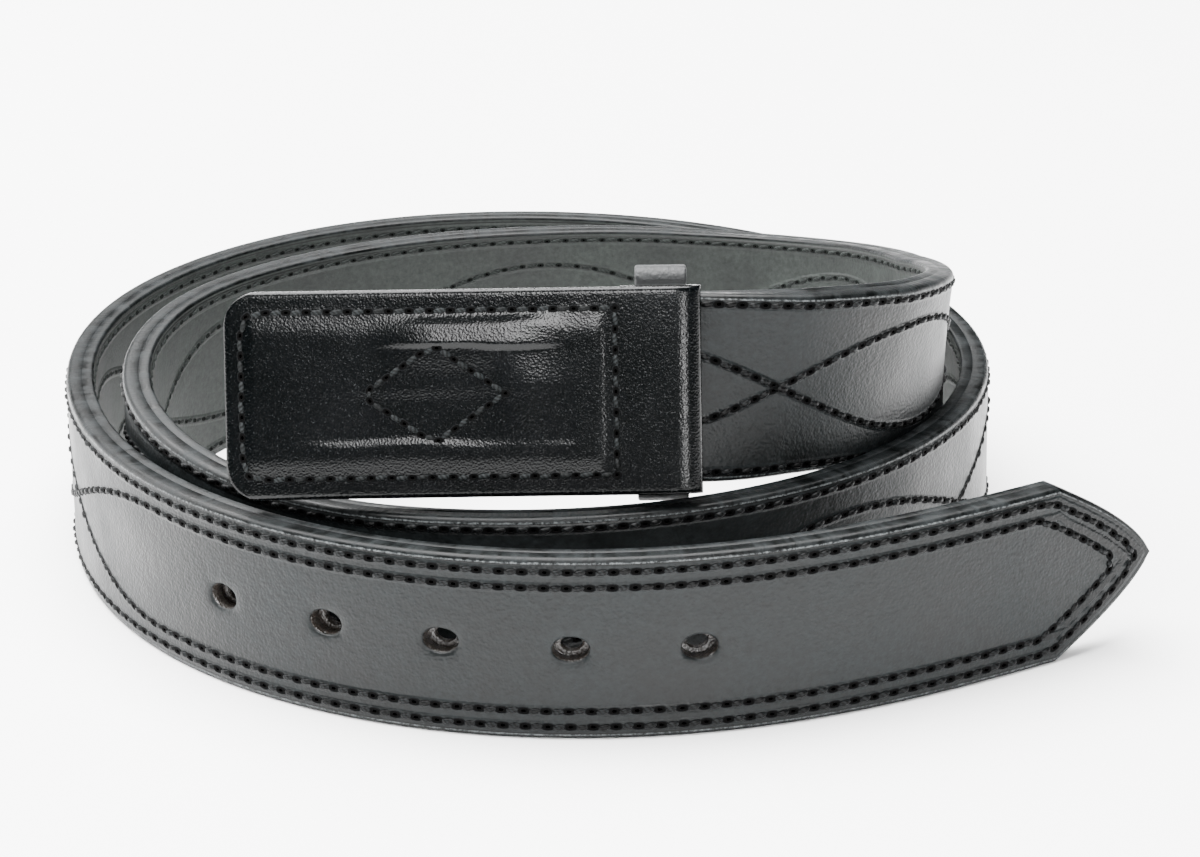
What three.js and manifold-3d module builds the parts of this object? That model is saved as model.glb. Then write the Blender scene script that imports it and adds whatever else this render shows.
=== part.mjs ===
// A stitched leather work belt, coiled about two and a half turns and standing on its edge.
// Millimetres, +Z up. X runs to the viewer's right, Y away from the viewer, and the floor is Z = 0.
// The strap is two plies of leather. Its inner end rises clear of the floor and carries a flat
// steel buckle frame sewn into a leather cover, with a keeper loop behind it.
import * as THREE from 'three';
import { mergeVertices } from 'three/addons/utils/BufferGeometryUtils.js';
import Module from 'manifold-3d';

const wasm = await Module();
wasm.setup();

// Strap
const STRAP_WIDTH = 38.1;
const FACE_THICK = 3.4;
const LINING_THICK = 2.3;
const CLEARANCE = 0.3;
const FACE_BEVEL = 0.9;
const LINING_BEVEL = 0.6;
const STRAP_THICK = FACE_THICK + CLEARANCE + LINING_THICK;

// Pointed tip: its half width grows as a power of the distance from the point
const TIP_LENGTH = 24;
const TIP_POWER = 0.68;
const TIP_FIRST = 0.3;
const TIP_STEPS = 9;

// Belt holes, the first one nearest the tip: distance from the tip and height above mid width
const HOLES = [
  { at: 103.7, up: -0.4 },
  { at: 128.5, up: 0 },
  { at: 153.9, up: 0.6 },
  { at: 178.5, up: 0.7 },
  { at: 204.7, up: 0.2 },
];
const HOLE_LENGTH = 7.2;
const HOLE_HEIGHT = 5.2;
const HOLE_SIDES = 20;

// The fold at the buckle's right end, and where the strap behind it starts to run straight
const COVER_START = 1258;
const STRAIGHT_FROM = 1272;

// The coil: the way the strap leaves its tip, and how hard it bends, in degrees for each 100 mm
const TIP_HEADING = 211.6;
const BENDS = [
  { at: 0, bend: -10.8 },
  { at: 45, bend: 18.2 },
  { at: 95, bend: 48 },
  { at: 145, bend: 54.6 },
  { at: 215, bend: 49.4 },
  { at: 295, bend: 35.6 },
  { at: 355, bend: 57.7 },
  { at: 425, bend: 68.3 },
  { at: 495, bend: 54.1 },
  { at: 595, bend: 50.1 },
  { at: 695, bend: 63 },
  { at: 795, bend: 54.8 },
  { at: 895, bend: 87.6 },
  { at: 995, bend: 62.7 },
  { at: 1050, bend: 51.8 },
  { at: 1097, bend: 85 },
  { at: 1134, bend: 74.6 },
  { at: 1165, bend: 70.9 },
  { at: 1191, bend: 101.8 },
  { at: 1212, bend: 83.1 },
  { at: 1233, bend: 70.9 },
  { at: 1249, bend: 119.9 },
  { at: 1258, bend: 146.8 },
  { at: 1259, bend: 54.9 },
  { at: 1271, bend: 54.9 },
  { at: STRAIGHT_FROM, bend: 0 },
  { at: 1370, bend: 0 },
];

// Where the strap's lower edge leaves the floor, and how far each stretch lifts it
const LIFTS = [
  { from: 815, to: 957, lift: 12.3 },
  { from: 1074, to: STRAIGHT_FROM, lift: 28 },
];

// How far the strap's top leans out of the coil, in degrees
const LEANS = [
  { at: 0, lean: 0 },
  { at: 1040, lean: 0 },
  { at: 1087, lean: 5.6 },
  { at: 1123, lean: 5.7 },
  { at: 1155, lean: -3.2 },
  { at: 1186, lean: 6.1 },
  { at: 1212, lean: 8.5 },
  { at: 1238, lean: 2.2 },
  { at: 1261, lean: -14.5 },
  { at: 1370, lean: -14.5 },
];
const STEP = 5;
const PATH_STEP = 1;

// Buckle cover: levels are measured outwards from the middle of the straight end of the strap
const COVER_LENGTH = 94.7;
const COVER_HEIGHT = 41.5;
const COVER_FRONT = 9.15;
const COVER_BACK = 3.35;
const COVER_THICK = COVER_FRONT - COVER_BACK;
const COVER_CORNER = 7;
const COVER_LEATHER = 1.5;
const FOLD_LENGTH = 16;
const SEAM_LEVEL = 6.25;
const CORNER_STEPS = 6;
const ROUND_STEPS = 8;

// Steel frame inside the cover, with its heel bar in the fold and a stud that enters a belt hole
const FRAME_START = 20;
const FRAME_LENGTH = 70;
const FRAME_HEIGHT = 31;
const RAIL = 5.4;
const FRAME_THICK = 2.2;
const FRAME_BACK = 5.15;
const HEEL_AT = 3;
const HEEL_RADIUS = 0.9;
const ARM_HEIGHT = 3;
const ARM_MID = 12.8;
const STUD_AT = 87.3;
const STUD_RADIUS = 2;
const STUD_HEAD_RADIUS = 2.5;
const STUD_HEAD_DEPTH = 1.5;
const STUD_DEPTH = 8.5;

// Keeper loop behind the strap's end, and how far that end reaches past the fold
const END_LAP = 19;
const KEEPER_START = 2.6;
const KEEPER_WIDTH = 10.4;
const KEEPER_LEATHER = 2;
const KEEPER_FRONT = -6;
const KEEPER_DEPTH = 10.6;
const KEEPER_HEIGHT = 47.6;
const KEEPER_CORNER = 2.5;

const BLACK_LEATHER = 0x262a2b;
const LINING_LEATHER = 0x3a3f3d;
const COVER_BLACK = 0x131415;
const KEEPER_GREY = 0x4a4d4e;
const PLAIN_STEEL = 0x8c8f92;

function radians(degrees) {
  return THREE.MathUtils.degToRad(degrees);
}

// The value of a named column at a distance, read between the table's rows
function between(table, column, at) {
  const next = table.findIndex((row) => row.at >= at);
  if (next <= 0) {
    return table[next === 0 ? 0 : table.length - 1][column];
  }
  const low = table[next - 1];
  const high = table[next];
  const share = (at - low.at) / (high.at - low.at);
  return THREE.MathUtils.lerp(low[column], high[column], share);
}

function liftAt(at) {
  return LIFTS.reduce((sum, row) => sum + row.lift * THREE.MathUtils.smoothstep(at, row.from, row.to), 0);
}

// The strap's middle surface: at each millimetre its centre, the way along it, the way up its
// width and the way out of the coil
function makePath(length) {
  const samples = [];
  let heading = radians(TIP_HEADING);
  const centre = new THREE.Vector3();
  for (let at = 0; at <= length; at += PATH_STEP) {
    const slope = (liftAt(at + PATH_STEP) - liftAt(at - PATH_STEP)) / (2 * PATH_STEP);
    const level = Math.sqrt(1 - slope * slope);
    const along = new THREE.Vector3(Math.cos(heading) * level, Math.sin(heading) * level, slope);
    const outward = new THREE.Vector3(-Math.sin(heading), Math.cos(heading), 0);
    const up = new THREE.Vector3().crossVectors(along, outward);
    const lean = radians(between(LEANS, 'lean', at));
    const across = up.clone().multiplyScalar(Math.cos(lean)).addScaledVector(outward, Math.sin(lean));
    const out = outward.clone().multiplyScalar(Math.cos(lean)).addScaledVector(up, -Math.sin(lean));
    const here = new THREE.Vector3(centre.x, centre.y, liftAt(at) + STRAP_WIDTH / 2);
    samples.push({ centre: here, along, across, out });
    centre.addScaledVector(along, PATH_STEP);
    heading -= radians(between(BENDS, 'bend', at + PATH_STEP / 2)) * PATH_STEP / 100;
  }
  return samples;
}

const path = makePath(COVER_START + COVER_LENGTH);

function sampleAt(at) {
  const index = Math.min(Math.floor(at / PATH_STEP), path.length - 2);
  const share = at / PATH_STEP - index;
  const mix = (name) => path[index][name].clone().lerp(path[index + 1][name], share);
  return { centre: mix('centre'), along: mix('along'), across: mix('across'), out: mix('out') };
}

// The matrix that takes x along the strap, y down its width and z outwards, at a distance
function placeAt(at) {
  const { centre, along, across, out } = sampleAt(at);
  return new THREE.Matrix4().makeBasis(along, across.negate(), out).setPosition(centre);
}

function solid(geometry) {
  const bare = geometry.clone();
  bare.deleteAttribute('normal');
  bare.deleteAttribute('uv');
  const merged = mergeVertices(bare, 1e-4);
  return new wasm.Manifold(new wasm.Mesh({
    numProp: 3,
    vertProperties: new Float32Array(merged.attributes.position.array),
    triVerts: new Uint32Array(merged.index.array),
  }));
}

function geometryOf(manifold) {
  const mesh = manifold.getMesh();
  const geometry = new THREE.BufferGeometry();
  geometry.setAttribute('position', new THREE.BufferAttribute(new Float32Array(mesh.vertProperties), 3));
  geometry.setIndex(new THREE.BufferAttribute(new Uint32Array(mesh.triVerts), 1));
  geometry.computeVertexNormals();
  return geometry;
}

function union(parts) {
  return parts.reduce((whole, part) => whole.add(part));
}

// A closed body through rings of the same number of points, one ring for each station. Rings that
// run the other way round are mirrored, so both plies share their diagonals where they face
function sweep(rings, mirrored) {
  const sides = rings[0].length;
  const positions = rings.flat().flatMap((point) => point.toArray());
  const index = [];
  const triangle = (a, b, c) => index.push(...(mirrored ? [a, c, b] : [a, b, c]));
  for (let ring = 0; ring + 1 < rings.length; ring += 1) {
    for (let side = 0; side < sides; side += 1) {
      const a = ring * sides + side;
      const b = ring * sides + (side + 1) % sides;
      triangle(a, a + sides, b);
      triangle(b, a + sides, b + sides);
    }
  }
  const last = (rings.length - 1) * sides;
  for (let side = 1; side + 1 < sides; side += 1) {
    triangle(0, side, side + 1);
    triangle(last, last + side + 1, last + side);
  }
  const geometry = new THREE.BufferGeometry();
  geometry.setAttribute('position', new THREE.Float32BufferAttribute(positions, 3));
  geometry.setIndex(index);
  return geometry;
}

function halfWidthAt(at) {
  return STRAP_WIDTH / 2 * Math.min(1, at / TIP_LENGTH) ** TIP_POWER;
}

// Distances of the strap's sections: close together round the tip, then evenly spaced
function stations(end) {
  const list = [];
  for (let step = 0; step < TIP_STEPS; step += 1) {
    list.push(Math.max(TIP_FIRST, TIP_LENGTH * (step / TIP_STEPS) ** (1 / TIP_POWER)));
  }
  const count = Math.round((end - TIP_LENGTH) / STEP);
  for (let step = 0; step <= count; step += 1) {
    list.push(TIP_LENGTH + (end - TIP_LENGTH) * step / count);
  }
  return list;
}

// One ply: a bevelled strip between two depths, with its bevel on the side away from the other ply
function ply(end, plain, bevelled, bevel) {
  const inward = Math.sign(plain - bevelled);
  const rings = stations(end).map((at) => {
    const { centre, across, out } = sampleAt(at);
    const half = halfWidthAt(at);
    const cut = Math.min(bevel, half * 0.8);
    const corners = [
      [-half, plain],
      [-half, bevelled + inward * cut],
      [-half + cut, bevelled],
      [half - cut, bevelled],
      [half, bevelled + inward * cut],
      [half, plain],
    ];
    return corners.map(([w, n]) => centre.clone().addScaledVector(across, w).addScaledVector(out, n));
  });
  return sweep(rings, inward < 0);
}

function extruded(shape, depth, curveSegments) {
  return new THREE.ExtrudeGeometry(shape, { depth, bevelEnabled: false, curveSegments });
}

function holeTool({ at, up }) {
  const oval = new THREE.Shape();
  oval.absellipse(0, 0, HOLE_LENGTH / 2, HOLE_HEIGHT / 2, 0, Math.PI * 2, false, 0);
  const tool = extruded(oval, STRAP_THICK * 2, HOLE_SIDES / 2);
  tool.translate(0, -up, -STRAP_THICK);
  tool.applyMatrix4(placeAt(at));
  return solid(tool);
}

function holed(geometry) {
  return HOLES.reduce((body, hole) => body.subtract(holeTool(hole)), solid(geometry));
}

// A box in the cover's own frame: x along from the fold, y down the width, z outwards
function block(x0, x1, y0, y1, z0, z1) {
  const box = new THREE.BoxGeometry(x1 - x0, y1 - y0, z1 - z0);
  box.translate((x0 + x1) / 2, (y0 + y1) / 2, (z0 + z1) / 2);
  return solid(box);
}

// The cover's outline from a distance on, square at the fold and round at the free end
function panel(start, low, high, inset) {
  const top = COVER_HEIGHT / 2 - inset;
  const end = COVER_LENGTH - inset;
  const shape = new THREE.Shape();
  shape.moveTo(start, -top);
  shape.lineTo(end - COVER_CORNER, -top);
  shape.absarc(end - COVER_CORNER, -top + COVER_CORNER, COVER_CORNER, -Math.PI / 2, 0, false);
  shape.absarc(end - COVER_CORNER, top - COVER_CORNER, COVER_CORNER, 0, Math.PI / 2, false);
  shape.lineTo(start, top);
  shape.closePath();
  const body = extruded(shape, high - low, CORNER_STEPS);
  body.translate(0, 0, low);
  return solid(body);
}

// A bar across the cover whose end at the fold is round: it makes the fold and its hollow
function roundedBar(low, high, end, halfHeight) {
  const radius = (high - low) / 2;
  const middle = (high + low) / 2;
  const centre = COVER_THICK / 2;
  const shape = new THREE.Shape();
  shape.moveTo(end, low);
  shape.lineTo(end, high);
  shape.lineTo(centre, high);
  shape.absarc(centre, middle, radius, Math.PI / 2, Math.PI * 1.5, false);
  shape.closePath();
  const body = extruded(shape, halfHeight * 2, ROUND_STEPS);
  body.rotateX(Math.PI / 2);
  body.translate(0, halfHeight, 0);
  return solid(body);
}

function coverFront() {
  const half = COVER_HEIGHT / 2;
  const inside = COVER_FRONT - COVER_LEATHER;
  const behind = COVER_BACK + COVER_LEATHER;
  const face = panel(COVER_THICK / 2, SEAM_LEVEL, COVER_FRONT, 0);
  const fold = roundedBar(COVER_BACK, COVER_FRONT, FOLD_LENGTH, half);
  const foldHollow = roundedBar(behind, inside, FOLD_LENGTH, half + 1);
  return union([face, fold]).subtract(foldHollow).subtract(frameRoom());
}

function coverBack() {
  const start = FOLD_LENGTH + CLEARANCE;
  const body = panel(start, COVER_BACK, SEAM_LEVEL - CLEARANCE, 0.6);
  return body.subtract(frameRoom()).subtract(stud(CLEARANCE));
}

function rails(start, end, margin, low, high) {
  const outer = FRAME_HEIGHT / 2 + margin;
  const inner = FRAME_HEIGHT / 2 - RAIL - margin;
  const bars = [
    block(start, end, inner, outer, low, high),
    block(start, end, -outer, -inner, low, high),
    block(start, start + RAIL + 2 * margin, -outer, outer, low, high),
    block(end - RAIL - 2 * margin, end, -outer, outer, low, high),
  ];
  for (const side of [-1, 1]) {
    const arm = ARM_HEIGHT / 2 + margin;
    bars.push(block(HEEL_AT, start + 1, side * ARM_MID - arm, side * ARM_MID + arm, low, high));
  }
  return union(bars);
}

// The pocket in the leather, a clearance wider than the steel all round
function frameRoom() {
  const start = FRAME_START - CLEARANCE;
  const end = FRAME_START + FRAME_LENGTH + CLEARANCE;
  return rails(start, end, CLEARANCE, FRAME_BACK - CLEARANCE, FRAME_BACK + FRAME_THICK + CLEARANCE);
}

function stud(margin) {
  const post = new THREE.CylinderGeometry(STUD_RADIUS + margin, STUD_RADIUS + margin, STUD_DEPTH, 12);
  const head = new THREE.CylinderGeometry(STUD_HEAD_RADIUS, STUD_HEAD_RADIUS, STUD_HEAD_DEPTH, 12);
  post.rotateX(Math.PI / 2);
  head.rotateX(Math.PI / 2);
  post.translate(STUD_AT, 0, FRAME_BACK + 0.5 - STUD_DEPTH / 2);
  head.translate(STUD_AT, 0, FRAME_BACK + 0.5 - STUD_DEPTH);
  return union([solid(post), solid(head)]);
}

function buckleFrame() {
  const end = FRAME_START + FRAME_LENGTH;
  const heel = new THREE.CylinderGeometry(HEEL_RADIUS, HEEL_RADIUS, ARM_MID * 2 + ARM_HEIGHT, 12);
  heel.translate(HEEL_AT, 0, FRAME_BACK + FRAME_THICK / 2);
  const steel = rails(FRAME_START, end, 0, FRAME_BACK, FRAME_BACK + FRAME_THICK);
  return union([steel, solid(heel), stud(0)]);
}

function roundedRectangle(path2d, width, height, radius) {
  const x = width / 2;
  const y = height / 2;
  path2d.moveTo(x, -y + radius);
  path2d.absarc(x - radius, y - radius, radius, 0, Math.PI / 2, false);
  path2d.absarc(-x + radius, y - radius, radius, Math.PI / 2, Math.PI, false);
  path2d.absarc(-x + radius, -y + radius, radius, Math.PI, Math.PI * 1.5, false);
  path2d.absarc(x - radius, -y + radius, radius, Math.PI * 1.5, Math.PI * 2, false);
}

function keeperLoop() {
  const ring = new THREE.Shape();
  roundedRectangle(ring, KEEPER_DEPTH, KEEPER_HEIGHT, KEEPER_CORNER);
  const room = new THREE.Path();
  const thick = 2 * KEEPER_LEATHER;
  roundedRectangle(room, KEEPER_DEPTH - thick, KEEPER_HEIGHT - thick, KEEPER_CORNER - KEEPER_LEATHER / 2);
  ring.holes.push(room);
  const body = extruded(ring, KEEPER_WIDTH, 4);
  body.rotateY(-Math.PI / 2);
  body.translate(KEEPER_START + KEEPER_WIDTH, 0, KEEPER_FRONT - KEEPER_DEPTH / 2);
  return solid(body);
}

const group = new THREE.Group();

function addPiece(name, geometry, color, roughness, metalness) {
  const material = new THREE.MeshStandardMaterial({ color, roughness, metalness });
  const mesh = new THREE.Mesh(geometry, material);
  mesh.name = name;
  group.add(mesh);
  return mesh;
}

const outer = STRAP_THICK / 2;
const strapEnd = COVER_START + END_LAP;
const face = ply(strapEnd, outer - FACE_THICK, outer, FACE_BEVEL);
const lining = ply(strapEnd, -outer + LINING_THICK, -outer, LINING_BEVEL);
addPiece('strap_face', geometryOf(holed(face)), BLACK_LEATHER, 0.45, 0);
addPiece('strap_lining', geometryOf(holed(lining)), LINING_LEATHER, 0.75, 0);

const coverPlace = placeAt(STRAIGHT_FROM);
coverPlace.multiply(new THREE.Matrix4().makeTranslation(COVER_START - STRAIGHT_FROM, 0, 0));
const coverPieces = [
  addPiece('buckle_cover_front', geometryOf(coverFront()), COVER_BLACK, 0.3, 0),
  addPiece('buckle_cover_back', geometryOf(coverBack()), COVER_BLACK, 0.6, 0),
  addPiece('buckle_frame', geometryOf(buckleFrame()), PLAIN_STEEL, 0.35, 1),
  addPiece('keeper_loop', geometryOf(keeperLoop()), KEEPER_GREY, 0.6, 0),
];
for (const piece of coverPieces) {
  piece.geometry.applyMatrix4(coverPlace);
}

// The origin is on the floor under the middle of the whole belt
const bounds = new THREE.Box3().setFromObject(group);
const middle = bounds.getCenter(new THREE.Vector3());
group.position.set(-middle.x, -middle.y, -bounds.min.z);

export default group;
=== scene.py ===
# %% [markdown]
# # A stitched leather belt
# A work belt, coiled two and a half turns and standing on its edge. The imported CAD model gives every
# size and place. This lesson dresses it: two plies of leather with dressed edges, rows of stitches,
# a buckle plate sewn into glossy leather, and a keeper loop. Lengths are in millimetres, as a belt maker
# measures, and become metres when a mesh is made.

import bpy
import numpy as np
from mathutils import Matrix, Vector


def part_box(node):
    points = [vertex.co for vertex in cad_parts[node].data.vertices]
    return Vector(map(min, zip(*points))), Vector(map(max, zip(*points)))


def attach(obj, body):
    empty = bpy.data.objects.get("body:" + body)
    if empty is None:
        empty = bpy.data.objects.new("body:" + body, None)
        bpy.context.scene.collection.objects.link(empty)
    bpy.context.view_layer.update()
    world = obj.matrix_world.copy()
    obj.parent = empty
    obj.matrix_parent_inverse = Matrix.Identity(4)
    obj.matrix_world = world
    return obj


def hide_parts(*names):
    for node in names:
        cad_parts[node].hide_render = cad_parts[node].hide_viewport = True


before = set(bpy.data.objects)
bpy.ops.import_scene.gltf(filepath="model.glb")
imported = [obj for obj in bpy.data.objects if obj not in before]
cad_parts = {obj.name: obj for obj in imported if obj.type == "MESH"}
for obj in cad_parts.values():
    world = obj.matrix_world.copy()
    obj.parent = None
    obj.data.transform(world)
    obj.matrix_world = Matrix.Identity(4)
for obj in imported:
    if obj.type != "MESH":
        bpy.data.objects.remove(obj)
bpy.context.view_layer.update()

# %% [markdown]
# ## The camera
# The camera was found by matching points of the strap's edges to the photograph: a long lens, about
# 0.9 m away, that looks down by 20 degrees and is turned one degree on its own axis.

# %% Place the camera
LENS_MM = 124.18
SENSOR_MM = 36.0
CAMERA_AT = (0.00253, -0.86071, 0.33339)
PITCH_DOWN = 19.848
ROLL = 1.031

camera_data = bpy.data.cameras.new("camera")
camera_data.lens = LENS_MM
camera_data.sensor_width = SENSOR_MM
camera = bpy.data.objects.new("camera", camera_data)
bpy.context.scene.collection.objects.link(camera)
tilt = Matrix.Rotation(np.radians(90 - PITCH_DOWN), 4, "X")
turn = tilt @ Matrix.Rotation(np.radians(-ROLL), 4, "Z")
camera.matrix_world = Matrix.Translation(CAMERA_AT) @ turn
bpy.context.scene.camera = camera
print("camera at", CAMERA_AT)

# %% [markdown]
# ## The strap's path
# A coiled strap is easiest to describe by how hard it bends at each distance from its tip. Adding up
# the bend gives the heading, and adding up the heading gives the place. The same tables shape the CAD
# solids, so the dressed strap lies exactly where they are. The coil's outer face touches the CAD box on
# two sides, and that fixes where the path lies.

# %% Follow the strap from its tip
MM = 0.001
STRAP_WIDTH = 38.1
FACE_DEPTH = 3.0
PATH_LENGTH = 1370
STRAIGHT_FROM = 1272
COIL_LENGTH = 1260
TIP_HEADING = 211.6
BEND_AT = [0, 45, 95, 145, 215, 295, 355, 425, 495, 595, 695, 795, 895, 995, 1050, 1097, 1134, 1165, 1191,
           1212, 1233, 1249, 1258, 1259, 1271, STRAIGHT_FROM, PATH_LENGTH]
BEND = [-10.8, 18.2, 48, 54.6, 49.4, 35.6, 57.7, 68.3, 54.1, 50.1, 63, 54.8, 87.6, 62.7, 51.8, 85, 74.6, 70.9,
        101.8, 83.1, 70.9, 119.9, 146.8, 54.9, 54.9, 0, 0]
LIFTS = [(815, 957, 12.3), (1074, STRAIGHT_FROM, 28)]
LEAN_AT = [0, 1040, 1087, 1123, 1155, 1186, 1212, 1238, 1261, PATH_LENGTH]
LEAN = [0, 0, 5.6, 5.7, -3.2, 6.1, 8.5, 2.2, -14.5, -14.5]


def lift_at(at):
    """Height of the strap's lower edge: a smooth step for each stretch that rises."""
    total = np.zeros_like(at)
    for start, end, lift in LIFTS:
        share = np.clip((at - start) / (end - start), 0, 1)
        total += lift * share**2 * (3 - 2 * share)
    return total


def strap_path(length):
    """Centre line and axes at each millimetre: heading is the tip's heading less the sum of the bends,
    and the centre is the sum of the unit steps along it."""
    at = np.arange(0.0, length + 1)
    bend = np.interp(at[:-1] + 0.5, BEND_AT, BEND)
    heading = np.radians(TIP_HEADING - np.concatenate([[0], np.cumsum(bend)]) / 100)
    slope = (lift_at(at + 1) - lift_at(at - 1)) / 2
    level = np.sqrt(1 - slope**2)
    along = np.stack([np.cos(heading) * level, np.sin(heading) * level, slope], 1)
    outward = np.stack([-np.sin(heading), np.cos(heading), np.zeros_like(at)], 1)
    up = np.cross(along, outward)
    lean = np.radians(np.interp(at, LEAN_AT, LEAN))[:, None]
    across = up * np.cos(lean) + outward * np.sin(lean)
    out = outward * np.cos(lean) - up * np.sin(lean)
    centre = np.concatenate([[[0, 0, 0]], np.cumsum(along[:-1], 0)])
    centre[:, 2] = lift_at(at) + STRAP_WIDTH / 2
    return {"centre": centre, "along": along, "across": across, "out": out}


path = strap_path(PATH_LENGTH)
strap_low, strap_high = (np.array(corner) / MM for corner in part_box("strap_face"))
coil = path["centre"][:COIL_LENGTH] + FACE_DEPTH * path["out"][:COIL_LENGTH]
path["centre"][:, 0] += strap_high[0] - coil[:, 0].max()
path["centre"][:, 1] += strap_high[1] - coil[:, 1].max()
print("tip at", path["centre"][0].round(2), "mm")

# %% [markdown]
# ## Places on the strap
# A point on the strap is given by three numbers: the distance from the tip, the height above the
# middle of its width, and the depth outwards. Leather is flat when it is cut and sewn, so every shape
# below is worked out in these numbers, and two functions turn them into places on the coil.

# %% Turn the strap's numbers into places


def column(name, at):
    """A path column read between its millimetres."""
    whole = np.arange(len(path[name]))
    return np.stack([np.interp(at, whole, path[name][:, axis]) for axis in range(3)], -1)


def on_strap(at, height, depth):
    """Centre at the distance, plus the height times the way across, plus the depth times the way out."""
    at, height, depth = np.broadcast_arrays(at, height, depth)
    flat = at.ravel()
    place = column("centre", flat) + height.ravel()[:, None] * column("across", flat)
    place += depth.ravel()[:, None] * column("out", flat)
    return place.reshape(*at.shape, 3)


print("buckle end of the path at", on_strap(float(STRAIGHT_FROM), 0.0, 0.0).round(1), "mm")

# %% [markdown]
# ## Making a mesh
# One function makes every piece, from places and faces. It also stores the leather's own numbers on the
# mesh, as an attribute that the material reads, so that grain and wear follow the leather round the coil
# and don't slide through it. A second function joins a grid of points by faces.

# %% Make pieces from arrays


def make_piece(name, places, faces, lay, replaced=(), rows=None):
    """A mesh object from places in millimetres, with the leather's own coordinates as attribute lay, and
    where a piece is sewn, how far each point is from its rows of stitches as attribute rows."""
    mesh = bpy.data.meshes.new(name)
    mesh.from_pydata((places.reshape(-1, 3) * MM).tolist(), [], [list(face) for face in faces])
    for label, values in (("lay", lay), ("rows", rows)):
        if values is not None:
            attribute = mesh.attributes.new(label, "FLOAT_VECTOR", "POINT")
            attribute.data.foreach_set("vector", (values.reshape(-1, 3) * MM).astype(np.float32).ravel())
    mesh.shade_smooth()
    mesh.update()
    piece = bpy.data.objects.new(name, mesh)
    bpy.context.scene.collection.objects.link(piece)
    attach(piece, "root")
    if replaced:
        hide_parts(*replaced)
    triangles = sum(len(face) - 2 for face in faces)
    print(name, len(mesh.vertices), "vertices", triangles, "triangles")
    return piece


def grid_faces(rows, columns):
    """Four-cornered faces between neighbouring points of a grid that closes round its columns."""
    index = np.arange(rows * columns).reshape(rows, columns)
    right = np.roll(index, -1, 1)
    return np.stack([index[:-1], index[1:], right[1:], right[:-1]], -1)


# %% [markdown]
# ## Where the stitches run
# Two rows follow the strap's edges. A second pair lies inside them near the tip, closes in behind the
# belt holes and then weaves from side to side, crossing every 80 mm: the wavy pattern of western belts.
# Each row is a height for every distance, and stitches are dealt out along it at an even pitch.

# %% Rows on the strap
TIP_LENGTH = 24.0
TIP_POWER = 0.68
BORDER_ROW = (16.3, 17.0)
BORDER_DRIFT = (400, 1200)
SECOND_ROW = 13.0
WAVE_HEIGHT = (9.8, 11.6)
WAVE_GROWTH = (500, 1240)
WAVE_LENGTH = 161.3
WAVE_START = 275.0
WAVE_BLEND = 48.0
TIP_ROW_END = 40


def border_row(at):
    """The outer row's height, which drifts a little towards the edge along the strap."""
    return np.interp(at, BORDER_DRIFT, BORDER_ROW)


def second_row(at):
    """Level from the tip, then a quarter of a sine down to the first crossing, then a sine."""
    near = SECOND_ROW * np.sin(np.pi / 2 * np.clip((WAVE_START - at) / WAVE_BLEND, 0, 1))
    tall = np.interp(at, WAVE_GROWTH, WAVE_HEIGHT)
    wave = -tall * np.sin(2 * np.pi * (at - WAVE_START) / WAVE_LENGTH)
    return np.where(at < WAVE_START, near, wave)


def half_width(at):
    """The strap's half width, which grows from the tip as a power of the distance."""
    return STRAP_WIDTH / 2 * np.minimum(1, at / TIP_LENGTH) ** TIP_POWER


def row_distances(at, height):
    """Three distances at each point: from the strap's edge, from the outer row, and from the nearer of
    the two second rows, which near the tip keep their distance from the edge."""
    half = half_width(at)
    slope = np.where(at < TIP_LENGTH, TIP_POWER * half / np.maximum(at, 1.0), 0)
    edge = (half - np.abs(height)) / np.sqrt(1 + slope**2)
    outer = np.abs(edge - STRAP_WIDTH / 2 + border_row(at))
    inner = np.abs(edge - STRAP_WIDTH / 2 + SECOND_ROW)
    row = second_row(at)
    second = np.where(at < TIP_ROW_END, inner, np.minimum(np.abs(height - row), np.abs(height + row)))
    return np.stack([edge, outer, second], -1)


print("rows cross first at", WAVE_START, "mm and then every", WAVE_LENGTH / 2, "mm")

# %% [markdown]
# ## The plies' edge and holes
# A strong belt is two straps of leather, glued and sewn back to back, whose edges are bevelled, dyed and
# rubbed round. The section of a ply is a thin bar with quarter circles at the face's two edges. A boolean
# cut for each belt hole would leave a hard rim, so rings of points lead from a square in the grid to an
# oval instead. They sink at the rim and run down the wall: the pressed-in look of a punched hole.

# %% The section of a ply and the rings of a hole
COLUMNS = 28
RIM_POINTS = 6
REAR_CHAMFER = 0.02
HOLES = [(103.7, -0.4), (128.5, 0.0), (153.9, 0.6), (178.5, 0.7), (204.7, 0.2)]
HOLE_LENGTH = 7.2
HOLE_HEIGHT = 5.2
HOLE_REACH = 3
HOLE_RINGS = [(0.4, 0.02), (0.75, 0.12), (0.92, 0.3), (1.0, 0.62), (1.04, 1.1)]
REAR_SINK = 0.3


def ply_profile(face, back, rim):
    """One ring of (share of the width, inset, depth): up the face, round the top edge, down the back and
    round the lower edge. Quarter circles of the rim's radius round the face's two edges."""
    side = np.sign(face - back)
    shares = np.linspace(-1, 1, COLUMNS + 1)
    angles = np.linspace(0, np.pi / 2, RIM_POINTS)[1:]
    top = [(1, rim * (1 - np.sin(angle)), face - side * rim * (1 - np.cos(angle))) for angle in angles]
    front = [(share, rim, face) for share in shares]
    rear = [(share, rim, back) for share in -shares]
    top += [(1, 0, back + side * REAR_CHAMFER), (1, REAR_CHAMFER, back)]
    low = [(-share, inset, depth) for share, inset, depth in reversed(top)]
    return np.array(front + top + rear + low)


def square_round(rows, cols):
    """The grid corners of a square, in order round it, as (row, column)."""
    corners = [(row, cols[0]) for row in range(rows[0], rows[1])]
    corners += [(rows[1], col) for col in range(cols[0], cols[1])]
    corners += [(row, cols[1]) for row in range(rows[1], rows[0], -1)]
    corners += [(rows[0], col) for col in range(cols[1], cols[0], -1)]
    return np.array(corners)


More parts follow.
